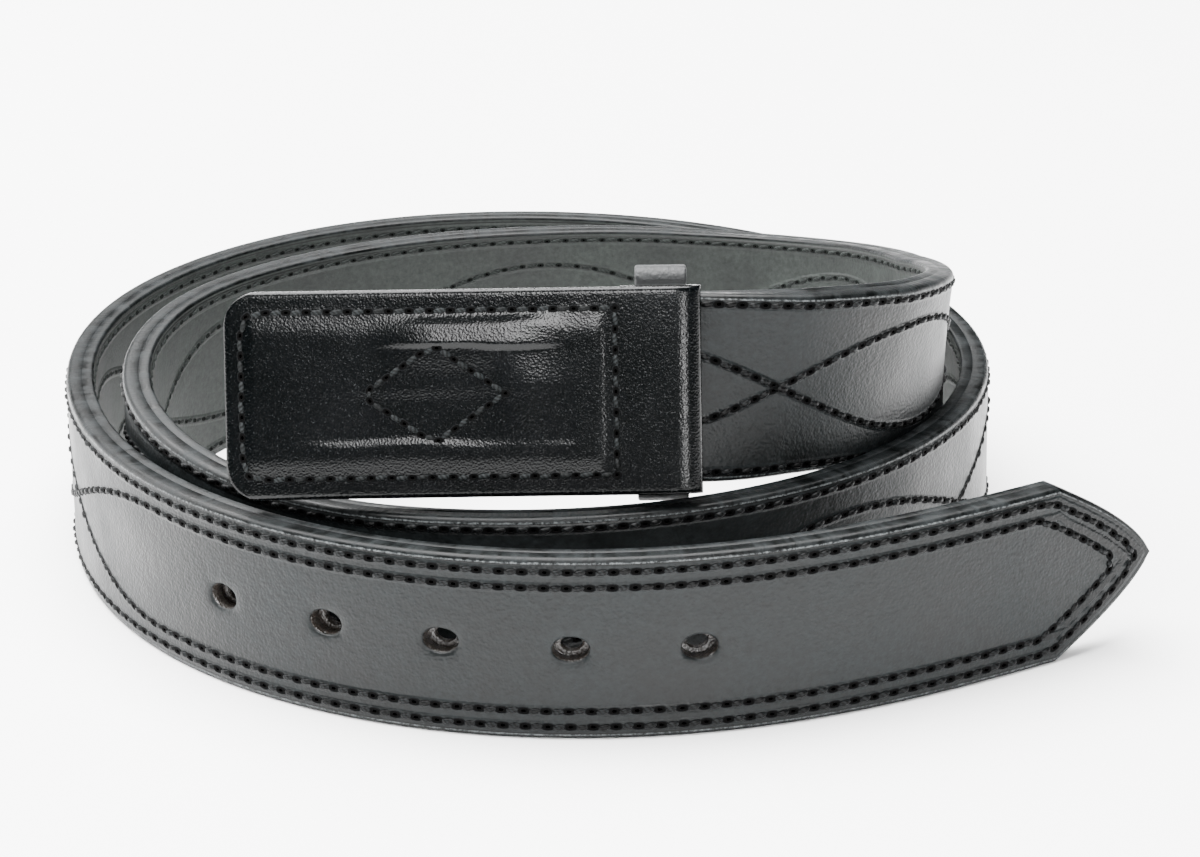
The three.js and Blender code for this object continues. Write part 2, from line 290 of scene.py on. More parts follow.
def hole_rings(edge_at, edge_up, hole, hole_share, face, back):
    """Rings from the square in the face to the one in the back. Each lies a share of the way from the
    square's corners to the oval's points at the same angles, deeper in the leather than the last."""
    hole_at, hole_up = hole
    angle = np.arctan2(edge_up - hole_up, edge_at - hole_at)
    oval_at = hole_at + hole_share * HOLE_LENGTH / 2 * np.cos(angle)
    oval_up = hole_up + hole_share * HOLE_HEIGHT / 2 * np.sin(angle)
    side = np.sign(face - back)
    levels = [(share, face - side * sink) for share, sink in HOLE_RINGS]
    levels += [(share, back + side * sink * REAR_SINK) for share, sink in reversed(HOLE_RINGS)]
    rings = []
    for share, level in levels:
        ring_at = edge_at + (oval_at - edge_at) * share
        ring_up = edge_up + (oval_up - edge_up) * share
        rings.append(np.stack([ring_at, ring_up, np.full_like(ring_at, level)], -1))
    return rings


print("ply section of", len(ply_profile(FACE_DEPTH, 0.0, 1.0)), "points")

# %% [markdown]
# ## The two plies
# The section is carried along the path, closer together at the pointed tip. The lining's holes are drawn
# at two thirds of the face's, because its soft fibres close up behind the punch and show as a ragged brown
# ring. The walls of the holes and the dressed edges get materials of their own, so their faces are
# numbered: 0 is the ply's own leather, 1 is raw leather and 2 is the dressed edge. Bands of faces between
# a hole's rings are counted from the face, so raw_bands says which of them are raw.

# %% Carry the section along the path
STRAP_END = 1277.0
STATION = 2.0
TIP_STEPS = 14
TIP_FIRST = 0.15
INSET_LIMIT = 0.7
RAW_WALL = 1
DRESSED_EDGE = 2
FACE_SHAPE = {"face": FACE_DEPTH, "back": -0.4, "rim": 1.15, "hole_share": 1.0, "raw_bands": range(4, 8)}
LINING_SHAPE = {"face": -FACE_DEPTH, "back": -0.42, "rim": 0.7, "hole_share": 0.66, "raw_bands": range(4, 11)}


def ply_stations():
    """Distances of the rings: at the tip they close up as the tip narrows, and then they are even."""
    tip = TIP_LENGTH * (np.arange(1, TIP_STEPS) / TIP_STEPS) ** (1 / TIP_POWER)
    count = int(round((STRAP_END - TIP_LENGTH) / STATION))
    return np.concatenate([[TIP_FIRST], tip, np.linspace(TIP_LENGTH, STRAP_END, count + 1)])


def ply_grid(face, back, rim):
    """The section at every station: its height is the half width less the inset, times its share."""
    stations = ply_stations()
    ring = ply_profile(face, back, rim)
    half = half_width(stations)[:, None]
    inset = np.minimum(ring[None, :, 1], half * INSET_LIMIT)
    height = ring[None, :, 0] * (half - inset)
    depth = np.broadcast_to(ring[None, :, 2], height.shape)
    at = np.broadcast_to(stations[:, None], height.shape)
    return np.stack([at, height, depth], -1)


def square_at(stations, heights, hole):
    """Rows and columns of the grid's square round a hole, from the nearest station and column."""
    row = int(np.argmin(np.abs(stations - hole[0])))
    col = int(np.argmin(np.abs(heights - hole[1])))
    return (row - HOLE_REACH, row + HOLE_REACH), (col - HOLE_REACH - 1, col + HOLE_REACH + 1)


def ply(name, replaced, slot, face, back, rim, hole_share, raw_bands):
    """The grid without the squares round its holes, in the face and in the back, then the bands of faces
    between each hole's rings, and a cap at both ends. Each face keeps the number of its material."""
    grid = ply_grid(face, back, rim)
    stations, size = grid.shape[:2]
    behind = size // 2 + COLUMNS
    front_heights = grid[-1, :COLUMNS + 1, 1]
    quads = grid_faces(stations, size)
    keep = np.ones(quads.shape[:2], bool)
    lays, bands, raw = [grid.reshape(-1, 3)], [], []
    total = stations * size
    for hole in HOLES:
        rows, cols = square_at(grid[:, 0, 0], front_heights, hole)
        keep[rows[0]:rows[1], cols[0]:cols[1]] = False
        keep[rows[0]:rows[1], behind - cols[1]:behind - cols[0]] = False
        row, col = square_round(rows, cols).T
        rings = hole_rings(grid[row, 0, 0], front_heights[col], hole, hole_share, face, back)
        ring_points = total + np.arange(len(rings) * len(row)).reshape(len(rings), -1)
        loops = [row * size + col, *ring_points, row * size + behind - col]
        lays += rings
        total += ring_points.size
        for band, (outer, inner) in enumerate(zip(loops[:-1], loops[1:])):
            bands.append(np.stack([outer, np.roll(outer, -1), np.roll(inner, -1), inner], -1))
            raw.append(np.full(len(row), band in raw_bands))
    dressed = np.broadcast_to(np.arange(size) % (size // 2) >= COLUMNS, keep.shape)[keep]
    tip_cap = list(range(size))
    end_cap = list(range(stations * size - 1, (stations - 1) * size - 1, -1))
    faces = np.concatenate([quads[keep], *bands]).tolist() + [tip_cap, end_cap]
    if face < back:
        faces = [corners[::-1] for corners in faces]
    lays = np.concatenate(lays)
    rows = row_distances(lays[:, 0], lays[:, 1])
    piece = make_piece(name, on_strap(*lays.T), faces, lays, replaced, rows)
    numbers = np.concatenate([dressed * DRESSED_EDGE, np.concatenate(raw) * RAW_WALL, [0, 0]])
    piece.data.polygons.foreach_set("material_index", numbers.astype(np.int32))
    return piece


face_ply = ply("face_ply", ["strap_face"], "strap_face", **FACE_SHAPE)
lining_ply = ply("lining_ply", ["strap_lining"], "strap_lining", **LINING_SHAPE)

# %% [markdown]
# ## Stitches and needle holes
# Sewn leather shows a row of small needle holes with a waxed thread bridging from one to the next,
# each bridge lying a little aslant. There are thousands of them, so one thread shape of a few dozen
# faces is worked out for all stitches at once, as one big array, and becomes a single mesh. A needle
# hole is a small mound with a dimple rather than a real hole, because the leather below stays whole.

# %% Thread and needle hole shapes
THREAD_DIVE = 0.16
THREAD_RINGS = 9
THREAD_SIDES = 6
THREAD_FLATNESS = 0.72
THREAD_ENDS = 0.05
THREAD_LEVEL = 0.86
THREAD_ARCH = 2.2
UNEVEN_PULL = 0.09
THREAD_KINDS = 97
HOLE_SIDES = 12
HOLE_SQUARENESS = 0.75
MOUND = np.array([[1.25, -0.05], [1.06, 0.1], [0.94, 0.1], [0.4, 0.07]])

hand = np.random.default_rng(7)


def copies(faces, count, size):
    """The faces of one shape, repeated for each copy by adding the copy's first point number."""
    return (np.arange(count)[:, None, None] * size + faces[None]).reshape(-1, faces.shape[1]).tolist()


def copy_numbers(shape):
    """A number for each copy, the same at all its points, which its material turns into a shade."""
    return np.broadcast_to((np.arange(shape[0]) % THREAD_KINDS)[:, None, None], shape)


def threads(name, start, end, out, width, rise):
    """Each thread runs from start to end. The root of a half sine gives both its height and its thickness,
    so it dives into both needle holes, and a ring of points surrounds every step. No two stitches pull
    quite alike, so both ends are moved by a seeded random amount of about 0.1 mm."""
    start = start + hand.normal(0, UNEVEN_PULL, start.shape)
    end = end + hand.normal(0, UNEVEN_PULL, end.shape)
    share = np.linspace(0.0, 1.0, THREAD_RINGS)[None, :, None]
    swell = np.sin(np.pi * (THREAD_ENDS + (1 - 2 * THREAD_ENDS) * share)) ** 0.5
    start, end = start + (end - start) * THREAD_DIVE, end - (end - start) * THREAD_DIVE
    chord = end - start
    way = chord / np.linalg.norm(chord, axis=1, keepdims=True)
    side = np.cross(way, out)
    side /= np.linalg.norm(side, axis=1, keepdims=True)
    over = np.cross(side, way)
    arch = rise * (swell - THREAD_LEVEL) * THREAD_ARCH
    centre = start[:, None] + chord[:, None] * share + over[:, None] * arch
    angle = np.linspace(0, 2 * np.pi, THREAD_SIDES, endpoint=False)
    radius = width / 2 * swell[..., None]
    across = side[:, None, None] * np.cos(angle)[None, None, :, None]
    upward = over[:, None, None] * np.sin(angle)[None, None, :, None] * THREAD_FLATNESS
    places = centre[:, :, None] + radius * (across + upward)
    length = np.linalg.norm(chord, axis=1)[:, None, None]
    run = np.broadcast_to(share[..., 0][:, :, None] * length, places.shape[:3])
    turned = np.broadcast_to(angle[None, None, :], places.shape[:3])
    lay = np.stack([run, turned, copy_numbers(places.shape[:3])], -1)
    size = THREAD_RINGS * THREAD_SIDES
    cap = np.arange(THREAD_SIDES)[None]
    faces = copies(grid_faces(THREAD_RINGS, THREAD_SIDES).reshape(-1, 4)[:, ::-1], len(start), size)
    faces += copies(cap, len(start), size)
    faces += copies(size - 1 - cap, len(start), size)
    return make_piece(name, places, faces, lay, ())


def needle_holes(name, centre, way, out, length, width):
    """Each needle hole is a short oblong ring of puckered leather with a dimple in it, which its material
    paints black as painted shade: the height over the leather rises to a crest and falls again as the
    rings shrink to the middle. Powers of the sine and cosine, under one, make the oval a little square."""
    angle = np.linspace(0, 2 * np.pi, HOLE_SIDES, endpoint=False)
    side = np.cross(way, out)
    side /= np.linalg.norm(side, axis=1, keepdims=True)
    square = lambda value: np.sign(value) * np.abs(value) ** HOLE_SQUARENESS
    oval = way[:, None] * square(np.cos(angle))[None, :, None] * length
    oval = oval + side[:, None] * square(np.sin(angle))[None, :, None] * width
    places = centre[:, None, None] + oval[:, None] * MOUND[None, :, None, :1]
    places = places + out[:, None, None] * MOUND[None, :, None, 1:]
    share = np.broadcast_to(MOUND[None, :, :1], places.shape[:3])
    turned = np.broadcast_to(angle[None, None, :], places.shape[:3])
    lay = np.stack([share, turned, copy_numbers(places.shape[:3])], -1)
    size = len(MOUND) * HOLE_SIDES
    faces = copies(grid_faces(len(MOUND), HOLE_SIDES).reshape(-1, 4), len(centre), size)
    faces += copies(size - HOLE_SIDES + np.arange(HOLE_SIDES)[None], len(centre), size)
    return make_piece(name, places, faces, lay, ())


# %% [markdown]
# ## Sewing a row
# A stitching wheel marks a seam at an even pitch before it is sewn, and a stitch runs from one mark to
# the next. The same function sews the strap and the buckle plate: it is told how numbers become places
# there, and which way is out. The threads lie a little aslant, because the needle goes in at an angle.

# %% Deal out the stitches
WAY_STEP = 0.5


def deal(at, height, pitch):
    """Stitch ends at an even spacing of the row's own length."""
    length = np.concatenate([[0], np.cumsum(np.hypot(np.diff(at), np.diff(height)))])
    count = int(round(length[-1] / pitch))
    marks = np.linspace(0, length[-1], count + 1)
    return np.interp(marks, length, at), np.interp(marks, length, height)


def sew(name, rows, place, level, outward, stitch):
    """Threads and needle holes along rows, at the level that a function gives. Each thread runs from one
    mark to the next, from one side of the row to the other by the stitch's slant. Each hole points along
    the row, as a short step on from its mark shows."""
    starts, ends, middles, ways = [], [], [], []
    for at, up in rows:
        mark_at, mark_up = deal(at, up, stitch["pitch"])
        way_at, way_up = np.gradient(mark_at), np.gradient(mark_up)
        size = np.hypot(way_at, way_up)
        way_at, way_up = way_at / size, way_up / size
        aside_at, aside_up = -way_up * stitch["slant"], way_at * stitch["slant"]
        here_at, here_up = mark_at + aside_at, mark_up + aside_up
        there_at, there_up = mark_at - aside_at, mark_up - aside_up
        starts.append(place(here_at, here_up, level(here_at, here_up))[:-1])
        ends.append(place(there_at, there_up, level(there_at, there_up))[1:])
        depth = level(mark_at, mark_up)
        middle = place(mark_at, mark_up, depth)
        step = place(mark_at + way_at * WAY_STEP, mark_up + way_up * WAY_STEP, depth) - middle
        middles.append((mark_at, middle))
        ways.append(step / np.linalg.norm(step, axis=1, keepdims=True))
    join = np.concatenate
    thread_out = join([outward(mark_at)[:-1] for mark_at, _ in middles])
    hole_out = join([outward(mark_at) for mark_at, _ in middles])
    middle = join([middle for _, middle in middles])
    made = threads(
        name + "_thread", join(starts), join(ends), thread_out, stitch["width"], stitch["rise"])
    length = stitch["hole"]
    pits = needle_holes(
        name + "_needle_holes", middle, join(ways), hole_out, length, length * stitch["oval"])
    return made, pits


# %% [markdown]
# ## The strap's stitches
# Both rows run from the buckle to the tip, round it and back, on the face and on the lining. A machine
# pulls its top thread up hard, so the stitches on the face are thick and stand proud. On the lining they
# are thinner and lie deeper in the softer leather.

# %% Sew the strap
SEWN_LENGTH = 1265.0
TIP_ROW_POINTS = 200
TIP_ROW_START = 1.55
TIP_ROW_BACK = 0.75
FACE_STITCH = {"pitch": 4.35, "slant": 0.4, "width": 1.3, "rise": 0.45, "hole": 1.15, "oval": 0.62}
LINING_STITCH = {"pitch": 4.35, "slant": -0.4, "width": 0.9, "rise": 0.22, "hole": 0.7, "oval": 0.62}


def tip_row(inset):
    """A row round the tip, parallel to its edge: out along the upper edge from the point."""
    at = np.linspace(inset * TIP_ROW_START, TIP_ROW_END, TIP_ROW_POINTS)
    height = np.maximum(half_width(np.maximum(at - inset * TIP_ROW_BACK, 0.01)) - inset, 0)
    return at, np.minimum(height, STRAP_WIDTH / 2 - inset)


def strap_rows(end):
    """Border and second rows, each from the strap's end to the tip, round it and back."""
    rows = []
    for height_there, row in ((BORDER_ROW[0], border_row), (SECOND_ROW, second_row)):
        tip_at, tip_up = tip_row(STRAP_WIDTH / 2 - height_there)
        far_at = np.arange(TIP_ROW_END + 1, end, 1.0)
        at = np.concatenate([tip_at, far_at])
        up = np.concatenate([tip_up, row(far_at)])
        rows.append((np.concatenate([at[::-1], at]), np.concatenate([up[::-1], -up])))
    return rows


def sew_strap(name, depth, side, stitch):
    """Both rows at a depth, facing out of the coil (side 1) or into it (side -1)."""
    level = lambda at, up: np.full_like(at, depth)
    outward = lambda at: column("out", at) * side
    return sew(name, strap_rows(SEWN_LENGTH), on_strap, level, outward, stitch)


face_sewing = sew_strap("face", FACE_DEPTH, 1, FACE_STITCH)
lining_sewing = sew_strap("lining", -FACE_DEPTH, -1, LINING_STITCH)

# %% [markdown]
# ## The buckle plate's numbers
# The plate is flat, so a point on it is again three numbers: the distance from the fold at its right
# end, the height above its middle, and the depth outwards. They run along the straight line that the
# strap's path ends in, which is where the strap passes behind the plate.

# %% Frame of reference on the cover
COVER_START = 1258.0
COVER_LENGTH = 94.7
COVER_HEIGHT = 41.5
COVER_FRONT = 9.15
COVER_BACK = 3.35
base = {name: path[name][STRAIGHT_FROM] for name in path}
fold_line = base["centre"] + base["along"] * (COVER_START - STRAIGHT_FROM)


def on_cover(at, height, depth):
    """The fold's line plus the distance along the plate, the height up it and the depth out of it."""
    at, height, depth = np.broadcast_arrays(at, height, depth)
    place = fold_line + at[..., None] * base["along"] + height[..., None] * base["across"]
    return place + depth[..., None] * base["out"]


def step_up(value, edge, soft):
    """0 below the edge and 1 above it, with a smooth bend of the given width."""
    share = np.clip((value - edge) / soft + 0.5, 0, 1)
    return share**2 * (3 - 2 * share)


print("fold at", fold_line.round(1), "mm")

# %% [markdown]
# ## How the front leather is moulded
# Wet leather is pressed over the steel frame and takes its shape: four bars stand proud, with the middle
# sunk between them. In black glazed leather the shape is seen by what it mirrors, and a slope of ten
# degrees turns black to white. So the relief below is a height map of a few tenths of a millimetre, made
# of smooth steps, with slow sines that keep its edges from being ruler straight. A pair of numbers gives
# a step's edge and the width of its bend.

# %% The relief of the front
RAIL_FROM, RAIL_TO = 19.6, 90.4
RAIL_OUTER, RAIL_INNER = 15.2, 9.6
RAIL_RISE = 0.4
RAIL_SLOPE = 2.6
LOW_SLOPE = 1.2
TOP_END_SLOPE = 4.0
TOP_END_LEFT, TOP_END_RIGHT = (60.0, 12.0), (30.0, 10.0)
HALVES = (0.0, 4.0)
DENT_FROM, DENT_TO = 25.8, 78.4
DENT_SLOPES = (3.0, 16.0)
DENT_DEPTH, DENT_LOW_DEPTH = 0.2, 0.5
SHINE_RISE = 0.75
SHINE_FROM, SHINE_TO = (32.0, 16.0), (60.0, 14.0)
SHINE_TOP, SHINE_LENGTH = 16.0, 6.2
CREST_SLOPE = 0.6
RIGHT_PART = (38.0, 14.0)
BELOW_CREST = (6.0, 7.0)
SPREAD_TOP, SPREAD_LOW = (-5.6, 8.0), (6.0, 15.0)
FOLD_DROP = 0.55
FOLD_FROM, FOLD_TO = 6.4, 2.9
THIN_RIM, ROUND_RIM = (1.6, 3.2), (0.3, 1.0)
THIN_RIM_DEPTH, ROUND_RIM_DEPTH = 0.04, 0.3
SLOW_WAVE, QUICK_WAVE = 9.0, 3.7


def frame_ridges(at, height, drift):
    """Raised over the bars and sunk inside them: smooth steps at the frame's outer and inner edges. The
    steps are wider at the plate's lower half and where the top bar fades out at both ends."""
    tall = np.abs(height)
    lower, upper = step_up(-height, *HALVES), step_up(height, *HALVES)
    firm = 0.65 + 0.35 * np.sin(at / SLOW_WAVE + height / 12 + 2.0)
    top_ends = (step_up(at, *TOP_END_LEFT) + 1 - step_up(at, *TOP_END_RIGHT)) * upper
    slope = RAIL_SLOPE * (1.0 + LOW_SLOPE * lower) + TOP_END_SLOPE * top_ends
    outside = step_up(at, RAIL_FROM, RAIL_SLOPE) * (1 - step_up(at, RAIL_TO, RAIL_SLOPE))
    outside = outside * (1 - step_up(tall + drift * 0.5, RAIL_OUTER - 0.4, slope))
    inside = step_up(at, DENT_FROM + drift, DENT_SLOPES[0])
    inside = inside * (1 - step_up(at, DENT_TO + drift, DENT_SLOPES[1]))
    inside = inside * (1 - step_up(tall + drift, RAIL_INNER, 1.3 + 0.5 * np.sin(at / 6.0)))
    return RAIL_RISE * (outside - (DENT_DEPTH + DENT_LOW_DEPTH * lower) * inside * firm)


def mirror_slope(at, height, drift):
    """The long bright stretch of the top bar: its leather slopes down from a crest towards the upper
    edge, falls away softly below the crest, and at the right spreads over the plate's middle."""
    shine = step_up(at, *SHINE_FROM) * (1 - step_up(at, *SHINE_TO))
    crest = step_up(height, RAIL_INNER + drift, CREST_SLOPE)
    right = 1 - step_up(at, *RIGHT_PART)
    below = 0.5 * (1 - 0.8 * right) * step_up(height, *BELOW_CREST)
    slope = np.clip((SHINE_TOP - height) / SHINE_LENGTH, 0, 1)
    spread = 0.7 * right * (1 - crest) * step_up(-height, *SPREAD_TOP) * (1 - step_up(-height, *SPREAD_LOW))
    return SHINE_RISE * shine * (slope * (crest + (1 - crest) * below) + spread)


def relief(at, height):
    """How far the leather stands proud of the plate's front: the ridges and the bright slope, less a
    square curve where it rolls into the fold, less a thinner and then a rounded rim."""
    drift = 0.35 * np.sin(at / SLOW_WAVE + 1.0) + 0.2 * np.sin(at / QUICK_WAVE + height / 8)
    rise = frame_ridges(at, height, drift) + mirror_slope(at, height, drift)
    rise -= FOLD_DROP * np.clip((FOLD_FROM - at) / (FOLD_FROM - FOLD_TO), 0, 1) ** 2
    rim = np.minimum(COVER_LENGTH - at, COVER_HEIGHT / 2 - np.abs(height))
    rise -= THIN_RIM_DEPTH * (1 - step_up(rim, *THIN_RIM))
    return rise - ROUND_RIM_DEPTH * (1 - step_up(rim, *ROUND_RIM))


print("top bar stands", relief(np.array([50.0]), np.array([12.0])).round(2), "mm proud")

# %% [markdown]
# ## The folded front
# The front of the buckle is one sheet of leather that is folded round the frame's heel bar at the right.
# Its profile runs along the front, round the fold and a little way back, then returns on the inside. It
# is carried up the height, and the corners at the free end are rounded by letting the profile end
# earlier near the top and bottom. A cloth solver would fold it too, but nobody could then place the
# ridges to a tenth of a millimetre.

# %% Build the folded front
COVER_CORNER = 7.0
COVER_LEATHER = 1.5
CUT_BACK = 16.0
CELL = 0.6
FOLD_ARC = np.linspace(0, np.pi, 18)[1:-1]
TAIL_POINTS = 10
RIM_HEIGHTS = np.array([0.0, 0.04, 0.14, 0.3])
RIM_DEPTHS = np.array([0.5, 0.42, 0.24, 0.08])
BACK_RIM = 0.6
fold_radius = (COVER_FRONT - COVER_BACK) / 2


def cover_heights():
    """Heights of the profiles, closer at the two long edges, and how far each is rounded off there."""
    low = RIM_HEIGHTS - COVER_HEIGHT / 2
    inner = COVER_HEIGHT / 2 - RIM_DEPTHS[0]
    middle = np.linspace(-inner, inner, int(COVER_HEIGHT / CELL))
    shrink = np.concatenate([RIM_DEPTHS, np.zeros(len(middle)), RIM_DEPTHS[::-1]])
    return np.concatenate([low, middle, -low[::-1]]), shrink


def cover_skin(end, inset):
    """Distance and depth of one side of the leather at every height: level along the front, a half circle
    round the fold, and level behind it. The inner side lies inside the outer one by the thickness."""
    radius = fold_radius - inset
    run = np.linspace(1, 0, int((COVER_LENGTH - fold_radius) / CELL) + 1)
    tail = fold_radius + (CUT_BACK - fold_radius) * np.linspace(0, 1, TAIL_POINTS)
    tall = np.ones((len(end), 1))
    back = tall * np.concatenate([fold_radius - radius * np.sin(FOLD_ARC), tail])
    at = np.concatenate([fold_radius + (end[:, None] - fold_radius) * run, back], 1)
    round_fold = (COVER_FRONT + COVER_BACK) / 2 + radius * np.cos(FOLD_ARC)
    depth = tall * np.concatenate([
        np.full(len(run), COVER_FRONT - inset), round_fold, np.full(TAIL_POINTS, COVER_BACK + inset)])
    return at, depth, len(run)


def mould(at, depth, heights, shrink, front):
    """Adds the relief to the front. On the fold its last value fades out by half a cosine, and its slope
    carries on as a sine times a squared cosine, so that no crease shows."""
    fold = slice(front, front + len(FOLD_ARC))
    depth[:, :front] += relief(at[:, :front], heights[:, None])
    depth[:, :front] -= shrink[:, None]
    depth[:, fold] += (depth[:, front - 1:front] - COVER_FRONT) * (0.5 + 0.5 * np.cos(FOLD_ARC))
    slope = 2 * FOLD_DROP / (FOLD_FROM - FOLD_TO) * (FOLD_ARC < np.pi / 2)
    depth[:, fold] -= slope * fold_radius * np.sin(FOLD_ARC) * np.cos(FOLD_ARC) ** 2
    depth[:, fold.stop:] += shrink[:, None] * BACK_RIM
    return depth


def cover_front():
    """The outer side, then the inner side backwards, as one closed ring for each height, with a strip of
    faces that closes the leather at the top and the bottom."""
    heights, shrink = cover_heights()
    over = np.maximum(np.abs(heights) - (COVER_HEIGHT / 2 - COVER_CORNER), 0)
    end = COVER_LENGTH - COVER_CORNER + np.sqrt(np.maximum(COVER_CORNER**2 - over**2, 0.04))
    outer_at, outer_depth, front = cover_skin(end, 0.0)
    outer_depth = mould(outer_at, outer_depth, heights, shrink, front)
    inner_at, inner_depth, _ = cover_skin(end, COVER_LEATHER)
    at = np.concatenate([outer_at, inner_at[:, ::-1]], 1)
    depth = np.concatenate([outer_depth, inner_depth[:, ::-1]], 1)
    height = np.broadcast_to(heights[:, None], at.shape)
    rows, cols = at.shape
    faces = grid_faces(rows, cols).reshape(-1, 4)[:, ::-1].tolist()
    index = np.arange(rows * cols).reshape(rows, cols)
    for row, turn_over in ((0, False), (rows - 1, True)):
        outer, inner = index[row, :cols // 2], index[row, ::-1][:cols // 2]
        caps = np.stack([outer[:-1], outer[1:], inner[1:], inner[:-1]], -1)
        faces += (caps[:, ::-1] if turn_over else caps).tolist()
    lays = np.stack([at, height, depth], -1)
    places = on_cover(at, height, depth)
    return make_piece("plate_leather_front", places, faces, lays, ["buckle_cover_front"])


plate_front = cover_front()

# %% [markdown]
# ## The plate's stitches
# One row goes round the plate, an upright row closes the fold, and a diamond in the middle holds both
# leathers to the frame. The front's thread has frayed with use. Behind, the other side of the same
# stitches shows. The folded leather is cut off there, so the rows begin a little beyond the cut.

# %% Sew the cover
SEAM_TOP, SEAM_LEFT, SEAM_RIGHT = 16.6, 91.4, 17.1
SEAM_CORNER = 3.2
DIAMOND_AT, DIAMOND_WIDE, DIAMOND_TALL = 53.3, 14.3, 9.8
BACK_FROM = 19.0
PLATE_STITCH = {"pitch": 4.1, "slant": 0.2, "width": 1.15, "rise": 0.3, "hole": 0.95, "oval": 0.65}
BACK_STITCH = {"pitch": 4.1, "slant": 0.2, "width": 0.95, "rise": 0.22, "hole": 0.75, "oval": 0.65}


def cover_rows():
    """The rows as (distances, heights): round the plate's edge with quarter circles at its two far
    corners, up the fold's edge, and round the diamond's four corners."""
    corner = np.linspace(0, np.pi / 2, 12)
    far, tall = SEAM_LEFT - SEAM_CORNER, SEAM_TOP - SEAM_CORNER
    out, back = SEAM_CORNER * np.sin(corner), SEAM_CORNER * np.cos(corner)
    edge = (np.concatenate([[SEAM_RIGHT], far + out, far + back, [SEAM_RIGHT]]),
            np.concatenate([[SEAM_TOP], tall + back, -tall - out, [-SEAM_TOP]]))
    upright = (np.array([SEAM_RIGHT, SEAM_RIGHT]), np.array([SEAM_TOP, -SEAM_TOP]))
    diamond = (DIAMOND_AT + DIAMOND_WIDE * np.array([-1, 0, 1, 0, -1]),
               DIAMOND_TALL * np.array([0, 1, 0, -1, 0]))
    return [edge, upright, diamond]


def sew_cover(name, rows, level, side, stitch):
    """Rows on the cover, facing out (side 1) or in (side -1)."""
    outward = lambda at: np.broadcast_to(base["out"] * side, (len(at), 3))
    return sew(name, rows, on_cover, level, outward, stitch)


plate_rows = cover_rows()
back_rows = [(np.maximum(at, BACK_FROM), up) for at, up in plate_rows]
cover_sewing = sew_cover("plate", plate_rows, lambda at, up: COVER_FRONT + relief(at, up), 1, PLATE_STITCH)
back_sewing = sew_cover("plate_back", back_rows, lambda at, up: np.full_like(at, COVER_BACK), -1, BACK_STITCH)

# %% [markdown]
# ## The keeper loop
# A narrow band of leather bent into an upright loop, which holds the strap's free end when the belt is
# worn. Its profile, a flat bar with rounded corners, is carried round a rounded rectangle.

# %% Build the keeper
KEEPER_START = 2.6
KEEPER_WIDTH = 10.4
KEEPER_LEATHER = 2.0
KEEPER_FRONT = -6.0
KEEPER_DEPTH = 10.6
KEEPER_HEIGHT = 47.6
KEEPER_CORNER = 2.5
KEEPER_RIM = 0.55
KEEPER_STEP = 1.5
CORNER_POINTS = 9
FLAT_POINTS = 7
RIM_STEPS = 5


def keeper_loop_points():
    """Points round a rounded rectangle with their outward normals: four quarter circles, with points
    filled in between neighbours that are more than a step apart."""
    half_depth, half_height = KEEPER_DEPTH / 2, KEEPER_HEIGHT / 2
    spots, normals = [], []
    for side_depth, side_height, start in ((1, 1, 0), (-1, 1, 90), (-1, -1, 180), (1, -1, 270)):
        angle = np.radians(start + np.linspace(0, 90, CORNER_POINTS))
        normal = np.stack([np.cos(angle), np.sin(angle)], 1)
        middle = [side_depth * (half_depth - KEEPER_CORNER), side_height * (half_height - KEEPER_CORNER)]
        spots.append(np.array(middle) + normal * KEEPER_CORNER)
        normals.append(normal)
    both = np.concatenate([np.concatenate(spots), np.concatenate(normals)], 1)
    filled = []
    for here, there in zip(both, np.roll(both, -1, 0)):
        count = max(1, int(np.linalg.norm(there[:2] - here[:2]) / KEEPER_STEP))
        share = np.linspace(0, 1, count, endpoint=False)[:, None]
        filled.append(here * (1 - share) + there * share)
    filled = np.concatenate(filled)
    return filled[:, :2], filled[:, 2:]


def keeper_section():
    """The band's section as offsets across it and into it: flat outside, two quarter circles round the
    edge, flat inside, and two quarter circles round the other edge."""
    rim, half, bend = KEEPER_RIM, KEEPER_WIDTH / 2, np.linspace(0, np.pi / 2, RIM_STEPS)
    flat = np.linspace(-half + rim, half - rim, FLAT_POINTS)
    wide = np.concatenate([
        flat, half - rim + rim * np.sin(bend[1:]), half - rim + rim * np.cos(bend), flat[::-1][1:],
        -half + rim - rim * np.sin(bend[1:]), (-half + rim - rim * np.cos(bend))[:-1]])
    deep = np.concatenate([
        np.zeros(FLAT_POINTS), -rim + rim * np.cos(bend[1:]), -KEEPER_LEATHER + rim - rim * np.sin(bend),
        np.full(FLAT_POINTS - 1, -KEEPER_LEATHER), -KEEPER_LEATHER + rim - rim * np.cos(bend[1:]),
        (-rim + rim * np.sin(bend))[:-1]])
    return wide, deep


def keeper():
    """Each point of the section goes out from each point of the loop along the loop's normal."""
    spots, normals = keeper_loop_points()
    wide, deep = keeper_section()
    ring = spots[:, None] + normals[:, None] * deep[None, :, None]
    at = np.broadcast_to(KEEPER_START + KEEPER_WIDTH / 2 + wide[None], ring.shape[:2])
    places = on_cover(at, ring[..., 1], KEEPER_FRONT - KEEPER_DEPTH / 2 + ring[..., 0])
    around = np.cumsum(np.linalg.norm(np.diff(spots, axis=0, prepend=spots[:1]), axis=1))
    around, deep = np.broadcast_arrays(around[:, None], deep[None])
    lay = np.stack([around, at, deep], -1)
    index = np.arange(at.size).reshape(at.shape)
    index = np.concatenate([index, index[:1]])
    right = np.roll(index, -1, 1)
    faces = np.stack([index[:-1], right[:-1], right[1:], index[1:]], -1).reshape(-1, 4)
    return make_piece("keeper_band", places, faces.tolist(), lay, ["keeper_loop"])


keeper_band = keeper()

